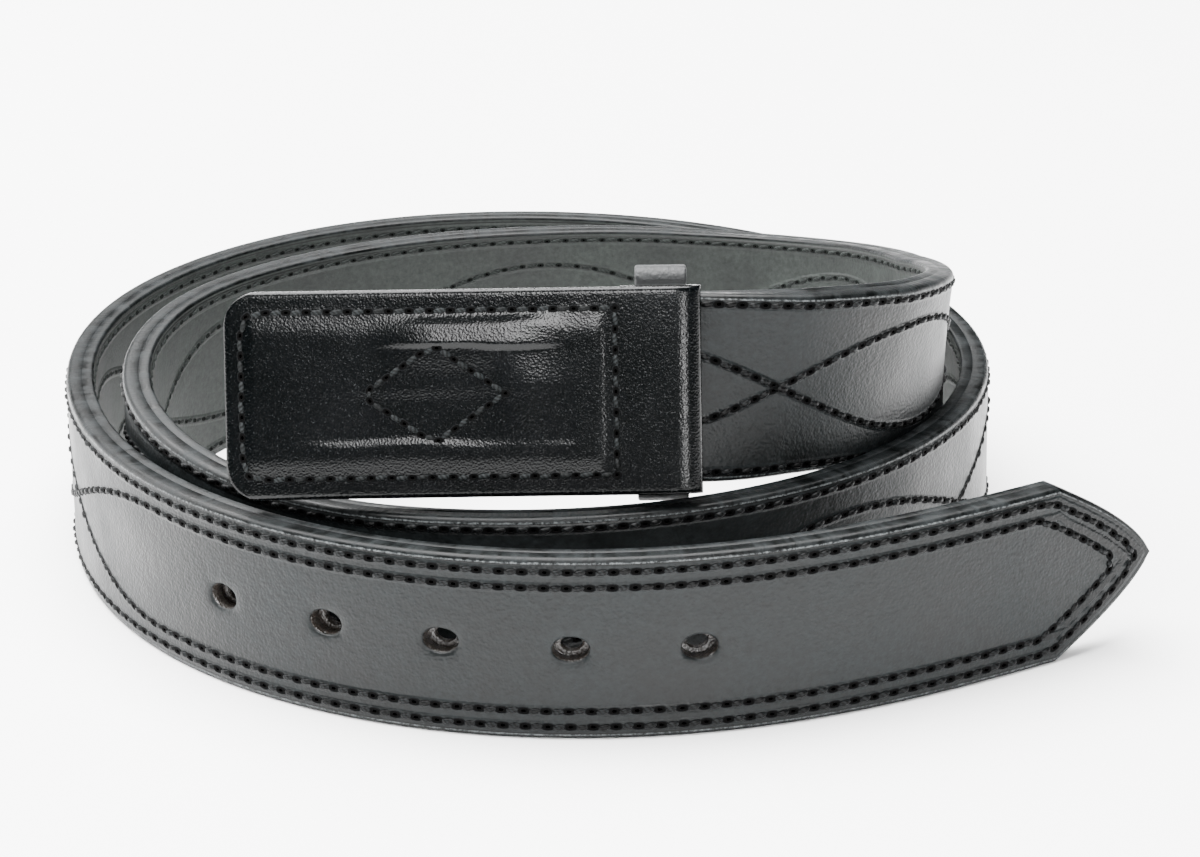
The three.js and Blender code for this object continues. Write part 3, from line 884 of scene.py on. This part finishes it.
# %% [markdown]
# ## Building materials from nodes
# Each material is a small network of nodes. One function adds any node, with its settings and links,
# another turns the sRGB colours that a picker shows into the linear ones that Cycles mixes, and a third
# turns the real width of a pattern into the scale of a noise texture.

# %% Node helpers
LEATHER_IOR = 1.48


def linear(code):
    """An sRGB hex colour as linear red, green, blue and full alpha."""
    values = np.array([int(code[i:i + 2], 16) for i in (1, 3, 5)]) / 255
    low, high = values / 12.92, ((values + 0.055) / 1.055) ** 2.4
    return (*np.where(values <= 0.04045, low, high).tolist(), 1.0)


def noise_scale(width):
    """How often a pattern of a width in millimetres repeats in a metre, to two digits."""
    return float(f"{1 / (width * MM):.2g}")


def add(tree, kind, inputs=None, ramp=None, **settings):
    """A node of a kind with its settings; inputs are values, or sockets that are linked."""
    node = tree.nodes.new(kind)
    for name, value in settings.items():
        setattr(node, name, value)
    for name, value in (inputs or {}).items():
        if isinstance(value, bpy.types.NodeSocket):
            tree.links.new(value, node.inputs[name])
        else:
            node.inputs[name].default_value = value
    if ramp:
        elements = node.color_ramp.elements
        while len(elements) < len(ramp):
            elements.new(0.5)
        for element, (position, colour) in zip(elements, ramp):
            element.position = position
            element.color = linear(colour) if isinstance(colour, str) else (colour, colour, colour, 1)
    return node


def new_material(name):
    """A material with a cleared tree, its shader and its output."""
    material = bpy.data.materials.new(name)
    material.use_nodes = True
    tree = material.node_tree
    tree.nodes.clear()
    shader = add(tree, "ShaderNodeBsdfPrincipled", name="Principled BSDF")
    add(tree, "ShaderNodeOutputMaterial", {"Surface": shader.outputs[0]})
    return material, tree, shader


def finish_surface(tree, shader, colour, roughness, normal):
    """Links a colour, a roughness and a bumped normal to the shader."""
    tree.links.new(colour, shader.inputs["Base Color"])
    tree.links.new(roughness, shader.inputs["Roughness"])
    tree.links.new(normal, shader.inputs["Normal"])


print("a pattern 22 mm wide has scale", noise_scale(22))

# %% [markdown]
# ## Finished leather
# Every leather here is taken as cowhide, tanned, dyed and finished. Its grain is a net of small cells
# with pores on them, which breaks up each highlight. Dye and wax never take quite evenly, and handling
# polishes some places more than others, so colour and roughness both follow a soft cloud. What differs
# from one leather to the next is how dark the dye is, how high the polish and how coarse the grain.

# %% Leather
CLOUD_WIDTH = 22
FLECK_WIDTH = 1.11
PORE_WIDTH = 0.38
CLOUD_SPAN = (0.3, 0.7)
MOTTLE_SPAN = (0.12, 0.42)
DUST_SPAN = (0.64, 0.76)
DUST = "#7c8082"


def leather(name, dark, light, roughness, grain_width, grain_depth, gloss, uneven=0.08, dusty=0.0):
    """Finished leather: cells of grain a fraction of a millimetre wide with finer pores on them, soft
    cloudy patches of colour and of polish, and pale specks of dust and fibre."""
    material, tree, shader = new_material(name)
    lay = add(tree, "ShaderNodeAttribute", attribute_name="lay").outputs["Vector"]
    cloud = add(tree, "ShaderNodeTexNoise", {
        "Vector": lay, "Scale": noise_scale(CLOUD_WIDTH), "Detail": 5.0, "Roughness": 0.62})
    fleck = add(tree, "ShaderNodeTexNoise", {
        "Vector": lay, "Scale": noise_scale(FLECK_WIDTH), "Detail": 3.0, "Roughness": 0.7})
    mottle = add(tree, "ShaderNodeMath", {0: cloud.outputs["Fac"], 1: fleck.outputs["Fac"]},
                 operation="MULTIPLY")
    colour = add(tree, "ShaderNodeValToRGB", {"Fac": mottle.outputs[0]},
                 ramp=list(zip(MOTTLE_SPAN, (dark, light))))
    hue = colour.outputs[0]
    pores = add(tree, "ShaderNodeTexNoise", {"Vector": lay, "Scale": noise_scale(PORE_WIDTH), "Detail": 2.0})
    if dusty:
        dust = add(tree, "ShaderNodeValToRGB", {"Fac": pores.outputs["Fac"]},
                   ramp=list(zip(DUST_SPAN, (0.0, dusty))))
        hue = add(tree, "ShaderNodeMix", {0: dust.outputs[0], 6: hue, 7: linear(DUST)},
                  data_type="RGBA").outputs[2]
    polish = add(tree, "ShaderNodeMapRange", {
        "Value": cloud.outputs["Fac"], "From Min": CLOUD_SPAN[0], "From Max": CLOUD_SPAN[1],
        "To Min": roughness - uneven, "To Max": roughness + uneven})
    grain = add(tree, "ShaderNodeTexVoronoi", {"Vector": lay, "Scale": 1 / (grain_width * MM)},
                feature="SMOOTH_F1")
    cells = add(tree, "ShaderNodeBump", {
        "Height": grain.outputs["Distance"], "Strength": 0.8, "Distance": grain_depth * MM})
    fine = add(tree, "ShaderNodeBump", {
        "Height": pores.outputs["Fac"], "Strength": 0.5, "Distance": grain_depth * 0.6 * MM,
        "Normal": cells.outputs[0]})
    finish_surface(tree, shader, hue, polish.outputs[0], fine.outputs[0])
    shader.inputs["IOR"].default_value = LEATHER_IOR
    shader.inputs["Specular IOR Level"].default_value = gloss
    return material


# %% [markdown]
# ## What sewing and wear do to a strap
# The thread pulls the leather down along each row, so a shallow channel runs there, and the shade it
# catches is painted in as a darker colour. A dark line of painted shade runs just inside the edge, where
# the face turns into the rounded rim. Leather that has been worn has low waves a few millimetres wide,
# and at its edges the finish is rubbed down to pale fibre, whose paler colour is also a painted highlight
# along the edge. All of these need to know how far a point is from the rows and from the edge, which the
# mesh carries as its second attribute.

# %% Sewing and wear
CHANNEL = (0.6, 1.3)
CHANNEL_DEPTH = 0.22
SHADE = (0.5, 0.8)
EDGE_SHADE_LINE_AT = 1.25
EDGE_SHADE_LINE_WIDTH = 0.12
FOLD_WIDTH = 2.6
FOLD_DEPTH = 0.16
FIBRE_WIDTH = 2.4
EDGE_WEAR_AND_HIGHLIGHT = (0.3, 1.15)


def sewn(material, rim, wear_and_highlight_share):
    """Adds to a finished leather: a smooth step down towards each row, noise waves, a darker hue at the
    rows as painted shade, a dark line of painted shade at one distance from the edge, and pale fibre that
    grows towards the rim and is also a painted highlight there."""
    tree = material.node_tree
    shader = tree.nodes["Principled BSDF"]
    hue = shader.inputs["Base Color"].links[0].from_socket
    polish = shader.inputs["Roughness"].links[0].from_socket
    normal = shader.inputs["Normal"].links[0].from_socket
    lay = tree.nodes["Attribute"].outputs["Vector"]
    rows = add(tree, "ShaderNodeAttribute", attribute_name="rows").outputs["Vector"]
    apart = add(tree, "ShaderNodeSeparateXYZ", {"Vector": rows})
    nearest = add(tree, "ShaderNodeMath", {0: apart.outputs["Y"], 1: apart.outputs["Z"]}, operation="MINIMUM")
    channel = add(tree, "ShaderNodeMapRange", {
        "Value": nearest.outputs[0], "From Min": CHANNEL[0] * MM, "From Max": CHANNEL[1] * MM},
        interpolation_type="SMOOTHSTEP")
    groove = add(tree, "ShaderNodeBump", {
        "Height": channel.outputs[0], "Strength": 1.0, "Distance": CHANNEL_DEPTH * MM, "Normal": normal})
    folds = add(tree, "ShaderNodeTexNoise", {"Vector": lay, "Scale": noise_scale(FOLD_WIDTH), "Detail": 3.0})
    waves = add(tree, "ShaderNodeBump", {
        "Height": folds.outputs["Fac"], "Strength": 0.7, "Distance": FOLD_DEPTH * MM,
        "Normal": groove.outputs[0]})
    # Painted shade: the hue is darkened towards each row, for the shade that falls in the stitch channel.
    shade = add(tree, "ShaderNodeMapRange", {
        "Value": nearest.outputs[0], "From Min": SHADE[0] * MM, "From Max": SHADE[1] * MM,
        "To Min": 0.3, "To Max": 1.0})
    row_shaded_hue = add(tree, "ShaderNodeVectorMath", {0: hue, "Scale": shade.outputs[0]}, operation="SCALE").outputs[0]
    # Painted shade: a thin black line where the face turns into the rounded rim.
    line = add(tree, "ShaderNodeMath", {0: apart.outputs["X"], 1: EDGE_SHADE_LINE_AT * MM, 2: EDGE_SHADE_LINE_WIDTH * MM},
               operation="COMPARE")
    shade_lined = add(tree, "ShaderNodeMix", {0: line.outputs[0], 6: row_shaded_hue, 7: linear("#010101")}, data_type="RGBA")
    # Worn fibre and painted highlight: towards the rim the hue turns pale, for the wear and for the light
    # that the rounded edge catches.
    fibre = add(tree, "ShaderNodeTexNoise", {
        "Vector": lay, "Scale": noise_scale(FIBRE_WIDTH), "Detail": 7.0, "Roughness": 0.8})
    rubbed = add(tree, "ShaderNodeMapRange", {
        "Value": apart.outputs["X"], "From Min": EDGE_WEAR_AND_HIGHLIGHT[0] * MM, "From Max": EDGE_WEAR_AND_HIGHLIGHT[1] * MM,
        "To Min": 1.0, "To Max": 0.0})
    worn = add(tree, "ShaderNodeMath", {0: fibre.outputs["Fac"], 1: rubbed.outputs[0]}, operation="MULTIPLY")
    wear = add(tree, "ShaderNodeValToRGB", {"Fac": worn.outputs[0]}, ramp=[(0.42, 0.0), (0.7, wear_and_highlight_share)])
    final = add(tree, "ShaderNodeMix", {0: wear.outputs[0], 6: shade_lined.outputs[2], 7: linear(rim)},
                data_type="RGBA")
    finish_surface(tree, shader, final.outputs[2], polish, waves.outputs[0])


# %% [markdown]
# ## The strap's two leathers
# The outer ply is bridle leather, vegetable tanned, dyed black through and stuffed with wax. The wax
# gives it a broad, soft sheen on a surface that still shows its grain. The inner ply is a softer chrome
# tanned lining, tumbled in a dye drum, which comes out a little greener and paler. It has no wax, so it
# scatters light and looks dull. The walls of the holes show raw leather, brown inside where the dye never
# reached. The punch presses them smooth, so they glint.

# %% Bridle, lining and raw leather
# The pale rim colours given to sewn below are worn fibre, and also a painted highlight along the edge.
bridle_leather = leather("waxed_bridle_leather", "#050606", "#131718", 0.43, 0.6, 0.12, gloss=0.19)
sewn(bridle_leather, "#4e5252", 0.35)
lining_leather = leather("drum_dyed_lining_leather", "#0d100f", "#252a27", 0.64, 0.7, 0.06, gloss=0.3)
sewn(lining_leather, "#464a49", 0.3)
raw_leather = leather("raw_cut_leather", "#080706", "#27211c", 0.36, 0.4, 0.3, gloss=0.7)
print("strap leathers", bridle_leather.name, lining_leather.name, raw_leather.name)

# %% [markdown]
# ## The buckle's and the keeper's leather
# The plate's front is glazed: an agate roller is rubbed over it until it shines like patent leather, so
# it mirrors the room and shows white only where it slopes. Dust shows on it as pale specks. The leather
# behind the plate is the same hide without the glazing, flat and dull. The keeper has lost its finish to
# the strap that slides through it: its grain is open, and its black has turned grey with dust.

# %% Glazed, backing and keeper leather
glazed_leather = leather(
    "glazed_buckle_leather", "#010202", "#020304", 0.19, 0.4, 0.045, gloss=0.2, uneven=0.02, dusty=0.1)
backing_leather = leather("matte_backing_leather", "#050606", "#151616", 0.62, 0.7, 0.06, gloss=0.4)
keeper_leather = leather("worn_keeper_leather", "#0c0d0e", "#2b2d2e", 0.6, 0.8, 0.2, gloss=0.35, dusty=0.25)
print("plate and keeper leathers", glazed_leather.name, backing_leather.name, keeper_leather.name)

# %% [markdown]
# ## The dressed edge
# The cut edge of a strap is dyed, waxed and rubbed with a slicker until its fibres lie down. The slicker
# leaves streaks across the edge, shiny and dull by turns, and the dye takes in blotches. Where the edge
# meets the face, handling wears the finish off in pale specks, which also paint the bright line of light
# that the bevel catches there. The streaks are a noise that is stretched eight times across the edge, and
# streaks and blotches are coarser than real ones, so that they show.

# %% Burnished edge
STREAK_WIDTH = 1.25
STREAK_STRETCH = 0.12
BLOTCH_WIDTH = 6.2
SPECK_WIDTH = 0.67
EDGE_DEPTH = 0.35
BEVEL = (0.3, 0.9)


def burnished_edge(name, dark, light, roughness, gloss):
    """Streaks times blotches give the colour, the roughness and the bump. Specks times a ramp from the
    rim inwards give the pale wear, which is also a painted highlight along the bevel."""
    material, tree, shader = new_material(name)
    lay = add(tree, "ShaderNodeAttribute", attribute_name="lay").outputs["Vector"]
    stretch = (1.0, STREAK_STRETCH, STREAK_STRETCH)
    across = add(tree, "ShaderNodeMapping", {"Vector": lay, "Scale": stretch}).outputs[0]
    streaks = add(tree, "ShaderNodeTexNoise", {
        "Vector": across, "Scale": noise_scale(STREAK_WIDTH), "Detail": 5.0, "Roughness": 0.7})
    blotch = add(tree, "ShaderNodeTexNoise", {
        "Vector": lay, "Scale": noise_scale(BLOTCH_WIDTH), "Detail": 4.0})
    both = add(tree, "ShaderNodeMath", {0: streaks.outputs["Fac"], 1: blotch.outputs["Fac"]},
               operation="MULTIPLY")
    colour = add(tree, "ShaderNodeValToRGB", {"Fac": both.outputs[0]}, ramp=[(0.18, dark), (0.4, light)])
    polish = add(tree, "ShaderNodeMapRange", {
        "Value": both.outputs[0], "From Min": 0.15, "From Max": 0.4, "To Min": roughness - 0.12,
        "To Max": roughness + 0.2})
    bump = add(tree, "ShaderNodeBump", {
        "Height": both.outputs[0], "Strength": 1.0, "Distance": EDGE_DEPTH * MM})
    rows = add(tree, "ShaderNodeAttribute", attribute_name="rows").outputs["Vector"]
    inwards = add(tree, "ShaderNodeSeparateXYZ", {"Vector": rows}).outputs["X"]
    # Worn finish and painted highlight: pale specks towards the face's side of the edge, where the bevel
    # catches light.
    bevel = add(tree, "ShaderNodeMapRange", {
        "Value": inwards, "From Min": BEVEL[0] * MM, "From Max": BEVEL[1] * MM})
    speck = add(tree, "ShaderNodeTexNoise", {
        "Vector": lay, "Scale": noise_scale(SPECK_WIDTH), "Detail": 4.0, "Roughness": 0.7})
    rubbed = add(tree, "ShaderNodeMath", {0: bevel.outputs[0], 1: speck.outputs["Fac"]}, operation="MULTIPLY")
    bright = add(tree, "ShaderNodeValToRGB", {"Fac": rubbed.outputs[0]}, ramp=[(0.4, 0.0), (0.62, 0.6)])
    hue = add(tree, "ShaderNodeMix", {0: bright.outputs[0], 6: colour.outputs[0], 7: linear("#6a6e6f")},
              data_type="RGBA")
    finish_surface(tree, shader, hue.outputs[2], polish.outputs[0], bump.outputs[0])
    shader.inputs["IOR"].default_value = LEATHER_IOR
    shader.inputs["Specular IOR Level"].default_value = gloss
    return material


edge_leather = burnished_edge("burnished_edge_leather", "#020303", "#191c1d", 0.42, 0.14)
print("edge leather", edge_leather.name)

# %% [markdown]
# ## Thread
# Leather is sewn with bonded nylon, three strands twisted and run through wax. The twist gives slanting
# ridges 0.9 mm apart, seven radians of a sine in each millimetre, and the wax a soft shine on them. Each
# ridge's crest is also painted lighter, as a painted highlight. The plate's thread is frayed, so it is
# paler and duller, and the lining's is sunk in the leather and has taken up its colour.

# %% Waxed thread
STRAND_RADIANS = 7.0
STRAND_LEAN = 2.0
STRAND_DEPTH = 0.08


def waxed_thread(name, dark, light, roughness, gloss):
    """A sine of the distance along the thread plus the angle round it makes the slanting strands in bump,
    and in colour as a painted highlight, lighter on each strand's crest. Each stitch has a random shade of
    its own, from its number."""
    material, tree, shader = new_material(name)
    lay = add(tree, "ShaderNodeAttribute", attribute_name="lay").outputs["Vector"]
    parts = add(tree, "ShaderNodeSeparateXYZ", {"Vector": lay})
    run = add(tree, "ShaderNodeMath", {0: parts.outputs["X"], 1: STRAND_RADIANS / MM}, operation="MULTIPLY")
    slant = add(tree, "ShaderNodeMath", {0: parts.outputs["Y"], 1: STRAND_LEAN / MM, 2: run.outputs[0]},
                operation="MULTIPLY_ADD")
    strand = add(tree, "ShaderNodeMath", {0: slant.outputs[0]}, operation="SINE")
    lift = add(tree, "ShaderNodeMapRange", {"Value": strand.outputs[0], "From Min": -1.0, "From Max": 1.0})
    number = add(tree, "ShaderNodeTexWhiteNoise", {"W": parts.outputs["Z"]}, noise_dimensions="1D")
    # Painted highlight: each strand's crest, where the bump is highest, is made lighter, scaled by the
    # stitch's own random shade.
    crest_highlight_and_tone = add(tree, "ShaderNodeMath", {0: lift.outputs[0], 1: number.outputs["Value"]},
                operation="MULTIPLY")
    colour = add(tree, "ShaderNodeValToRGB", {"Fac": crest_highlight_and_tone.outputs[0]}, ramp=[(0.0, dark), (0.8, light)])
    bump = add(tree, "ShaderNodeBump", {
        "Height": lift.outputs[0], "Strength": 0.5, "Distance": STRAND_DEPTH * MM})
    tree.links.new(colour.outputs[0], shader.inputs["Base Color"])
    tree.links.new(bump.outputs[0], shader.inputs["Normal"])
    shader.inputs["Roughness"].default_value = roughness
    shader.inputs["Specular IOR Level"].default_value = gloss
    shader.inputs["IOR"].default_value = 1.5
    return material


black_thread = waxed_thread("black_waxed_nylon", "#010101", "#121415", 0.45, 0.1)
fuzzy_thread = waxed_thread("frayed_black_nylon", "#020303", "#1b1e1f", 0.6, 0.12)
sunk_thread = waxed_thread("thread_sunk_in_the_lining", "#0e1110", "#1d211f", 0.7, 0.15)
print("threads", black_thread.name, fuzzy_thread.name, sunk_thread.name)

# %% [markdown]
# ## Pricked leather
# An awl pushes the leather up into a small collar round each hole. The hole is only a dimple, so the
# shade at its bottom is painted black, and the collar has the leather's own shade. On the soft lining the
# holes close up again, so their painted shade is almost as pale as the leather round them.

# %% Needle holes
# Shares of the hole's size for the painted shade in the dimple, the crest and the slope.
DIMPLE_RAMP = (0.85, 1.0, 1.15)


def pricked_leather(name, deep, dark, light):
    """A colour ramp over each point's share of the hole's size: black painted shade in the dimple, then the
    crest and the slope.
    """
    material, tree, shader = new_material(name)
    lay = add(tree, "ShaderNodeAttribute", attribute_name="lay").outputs["Vector"]
    parts = add(tree, "ShaderNodeSeparateXYZ", {"Vector": lay})
    share = add(tree, "ShaderNodeMath", {0: parts.outputs["X"], 1: 1 / MM}, operation="MULTIPLY")
    colour = add(tree, "ShaderNodeValToRGB", {"Fac": share.outputs[0]},
                 ramp=list(zip(DIMPLE_RAMP, (deep, dark, light))))
    tree.links.new(colour.outputs[0], shader.inputs["Base Color"])
    shader.inputs["Roughness"].default_value = 0.8
    shader.inputs["Specular IOR Level"].default_value = 0.05
    return material


# The first colour of each is the painted shade at the bottom of the needle hole.
pricked = pricked_leather("pricked_leather", "#000000", "#010101", "#0e0f10")
pricked_lining = pricked_leather("pricked_lining_leather", "#0c0e0d", "#0e1110", "#1a1e1c")
print("needle holes", pricked.name, pricked_lining.name)

# %% [markdown]
# ## Steel
# The frame is stamped from mild steel strip. Rolling leaves fine lines along the strip, which stretch
# each highlight across them, and there is no plating, so the metal is a dull grey. The lines are drawn a
# millimetre apart and seventeen long, far coarser than real ones, so that they show.

# %% Stamped steel
ROLLING_LINES = (60.0, 900.0, 900.0)


def plain_steel(name):
    """A noise that is stretched along the frame gives the lines, in colour and in roughness."""
    material, tree, shader = new_material(name)
    place = add(tree, "ShaderNodeTexCoord").outputs["Object"]
    stretch = add(tree, "ShaderNodeMapping", {"Vector": place, "Scale": ROLLING_LINES})
    lines = add(tree, "ShaderNodeTexNoise", {"Vector": stretch.outputs[0], "Scale": 1.0, "Detail": 6.0})
    colour = add(tree, "ShaderNodeValToRGB", {"Fac": lines.outputs["Fac"]},
                 ramp=[(0.3, "#6f7275"), (0.7, "#a6a9ac")])
    polish = add(tree, "ShaderNodeMapRange", {"Value": lines.outputs["Fac"], "To Min": 0.25, "To Max": 0.5})
    tree.links.new(colour.outputs[0], shader.inputs["Base Color"])
    tree.links.new(polish.outputs[0], shader.inputs["Roughness"])
    shader.inputs["Metallic"].default_value = 1.0
    return material


steel = plain_steel("stamped_steel")
print("metal", steel.name)

# %% [markdown]
# ## Dressing the pieces
# Most pieces have one material. The two plies have three, in the order of their faces' numbers. Clearing
# a mesh's materials also clears those numbers, so they are read first and set again afterwards.

# %% Put the materials on


def cover_with(piece, *materials):
    """Materials for a piece, in the order of its faces' material numbers."""
    numbers = np.zeros(len(piece.data.polygons), np.int32)
    piece.data.polygons.foreach_get("material_index", numbers)
    piece.data.materials.clear()
    for material in materials:
        piece.data.materials.append(material)
    piece.data.polygons.foreach_set("material_index", numbers)


cover_with(face_ply, bridle_leather, raw_leather, edge_leather)
cover_with(lining_ply, lining_leather, raw_leather, edge_leather)
cover_with(plate_front, glazed_leather)
cover_with(keeper_band, keeper_leather)
for sewing, thread, hole in (
        (face_sewing, black_thread, pricked), (lining_sewing, sunk_thread, pricked_lining),
        (cover_sewing, fuzzy_thread, pricked), (back_sewing, fuzzy_thread, pricked)):
    cover_with(sewing[0], thread)
    cover_with(sewing[1], hole)
cover_with(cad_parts["buckle_cover_back"], backing_leather)
cover_with(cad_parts["buckle_frame"], steel)
print("materials", len(bpy.data.materials))

# %% [markdown]
# ## The floor
# The belt stands on white paper. A plane far wider than the picture does for it, because no horizon
# shows from above. Paper isn't quite even, so its white wanders a little over a third of a metre.

# %% White paper
FLOOR_REACH = 6.0
PATCH_WIDTH = 333

floor_corners = [(x * FLOOR_REACH, y * FLOOR_REACH, 0) for x, y in ((-1, -1), (1, -1), (1, 1), (-1, 1))]
floor_mesh = bpy.data.meshes.new("floor")
floor_mesh.from_pydata(floor_corners, [], [(0, 1, 2, 3)])
floor = bpy.data.objects.new("floor", floor_mesh)
bpy.context.scene.collection.objects.link(floor)
paper, paper_tree, paper_shader = new_material("white_paper")
paper_shader.inputs["Roughness"].default_value = 0.9
paper_place = add(paper_tree, "ShaderNodeTexCoord").outputs["Object"]
paper_fleck = add(paper_tree, "ShaderNodeTexNoise", {
    "Vector": paper_place, "Scale": noise_scale(PATCH_WIDTH)})
paper_colour = add(paper_tree, "ShaderNodeValToRGB", {"Fac": paper_fleck.outputs["Fac"]},
                   ramp=[(0.3, "#f4f4f4"), (0.7, "#f7f7f7")])
paper_tree.links.new(paper_colour.outputs[0], paper_shader.inputs["Base Color"])
cover_with(floor, paper)
print("floor", 2 * FLOOR_REACH, "m wide")

# %% [markdown]
# ## The light
# Black leather is seen by what it mirrors, so each lamp is there for one reflection. A big lamp at the
# left gives the broad grey on the turns at the left. A huge one above lights the paper and the upper
# edges. One in front, high up, is what the plate's top bar mirrors, and a small low one at the right
# draws the soft line on the fold. A weak one behind keeps the rear edges from going black. The world is
# nearly dark, so what faces no lamp stays black.

# %% World and lamps
WORLD_STRENGTH = 0.06

world = bpy.data.worlds.new("studio")
world.use_nodes = True
world.node_tree.nodes["Background"].inputs["Color"].default_value = linear("#ffffff")
world.node_tree.nodes["Background"].inputs["Strength"].default_value = WORLD_STRENGTH
bpy.context.scene.world = world


def softbox(name, place, aim, size, power):
    """A square area lamp at a place, turned towards what it lights, with its size in metres and its
    power in watts."""
    lamp = bpy.data.lights.new(name, "AREA")
    lamp.size = size
    lamp.energy = power
    holder = bpy.data.objects.new(name, lamp)
    holder.location = place
    holder.rotation_euler = (Vector(aim) - Vector(place)).to_track_quat("-Z", "Y").to_euler()
    bpy.context.scene.collection.objects.link(holder)
    print(name, power, "W")


softbox("left_softbox", (-1.5, 0.55, 0.5), (0, 0, 0.04), 1.2, 38)
softbox("right_softbox", (0.75, -1.3, 0.29), (0, 0, 0.06), 0.2, 6)
softbox("top_softbox", (-0.45, 0.3, 1.7), (-0.2, 0.1, 0), 2.3, 430)
softbox("front_softbox", (0.15, -1.5, 0.85), (0, 0, 0.06), 0.5, 29)
softbox("back_softbox", (-0.2, 1.6, 0.62), (0, 0, 0.04), 0.5, 2)
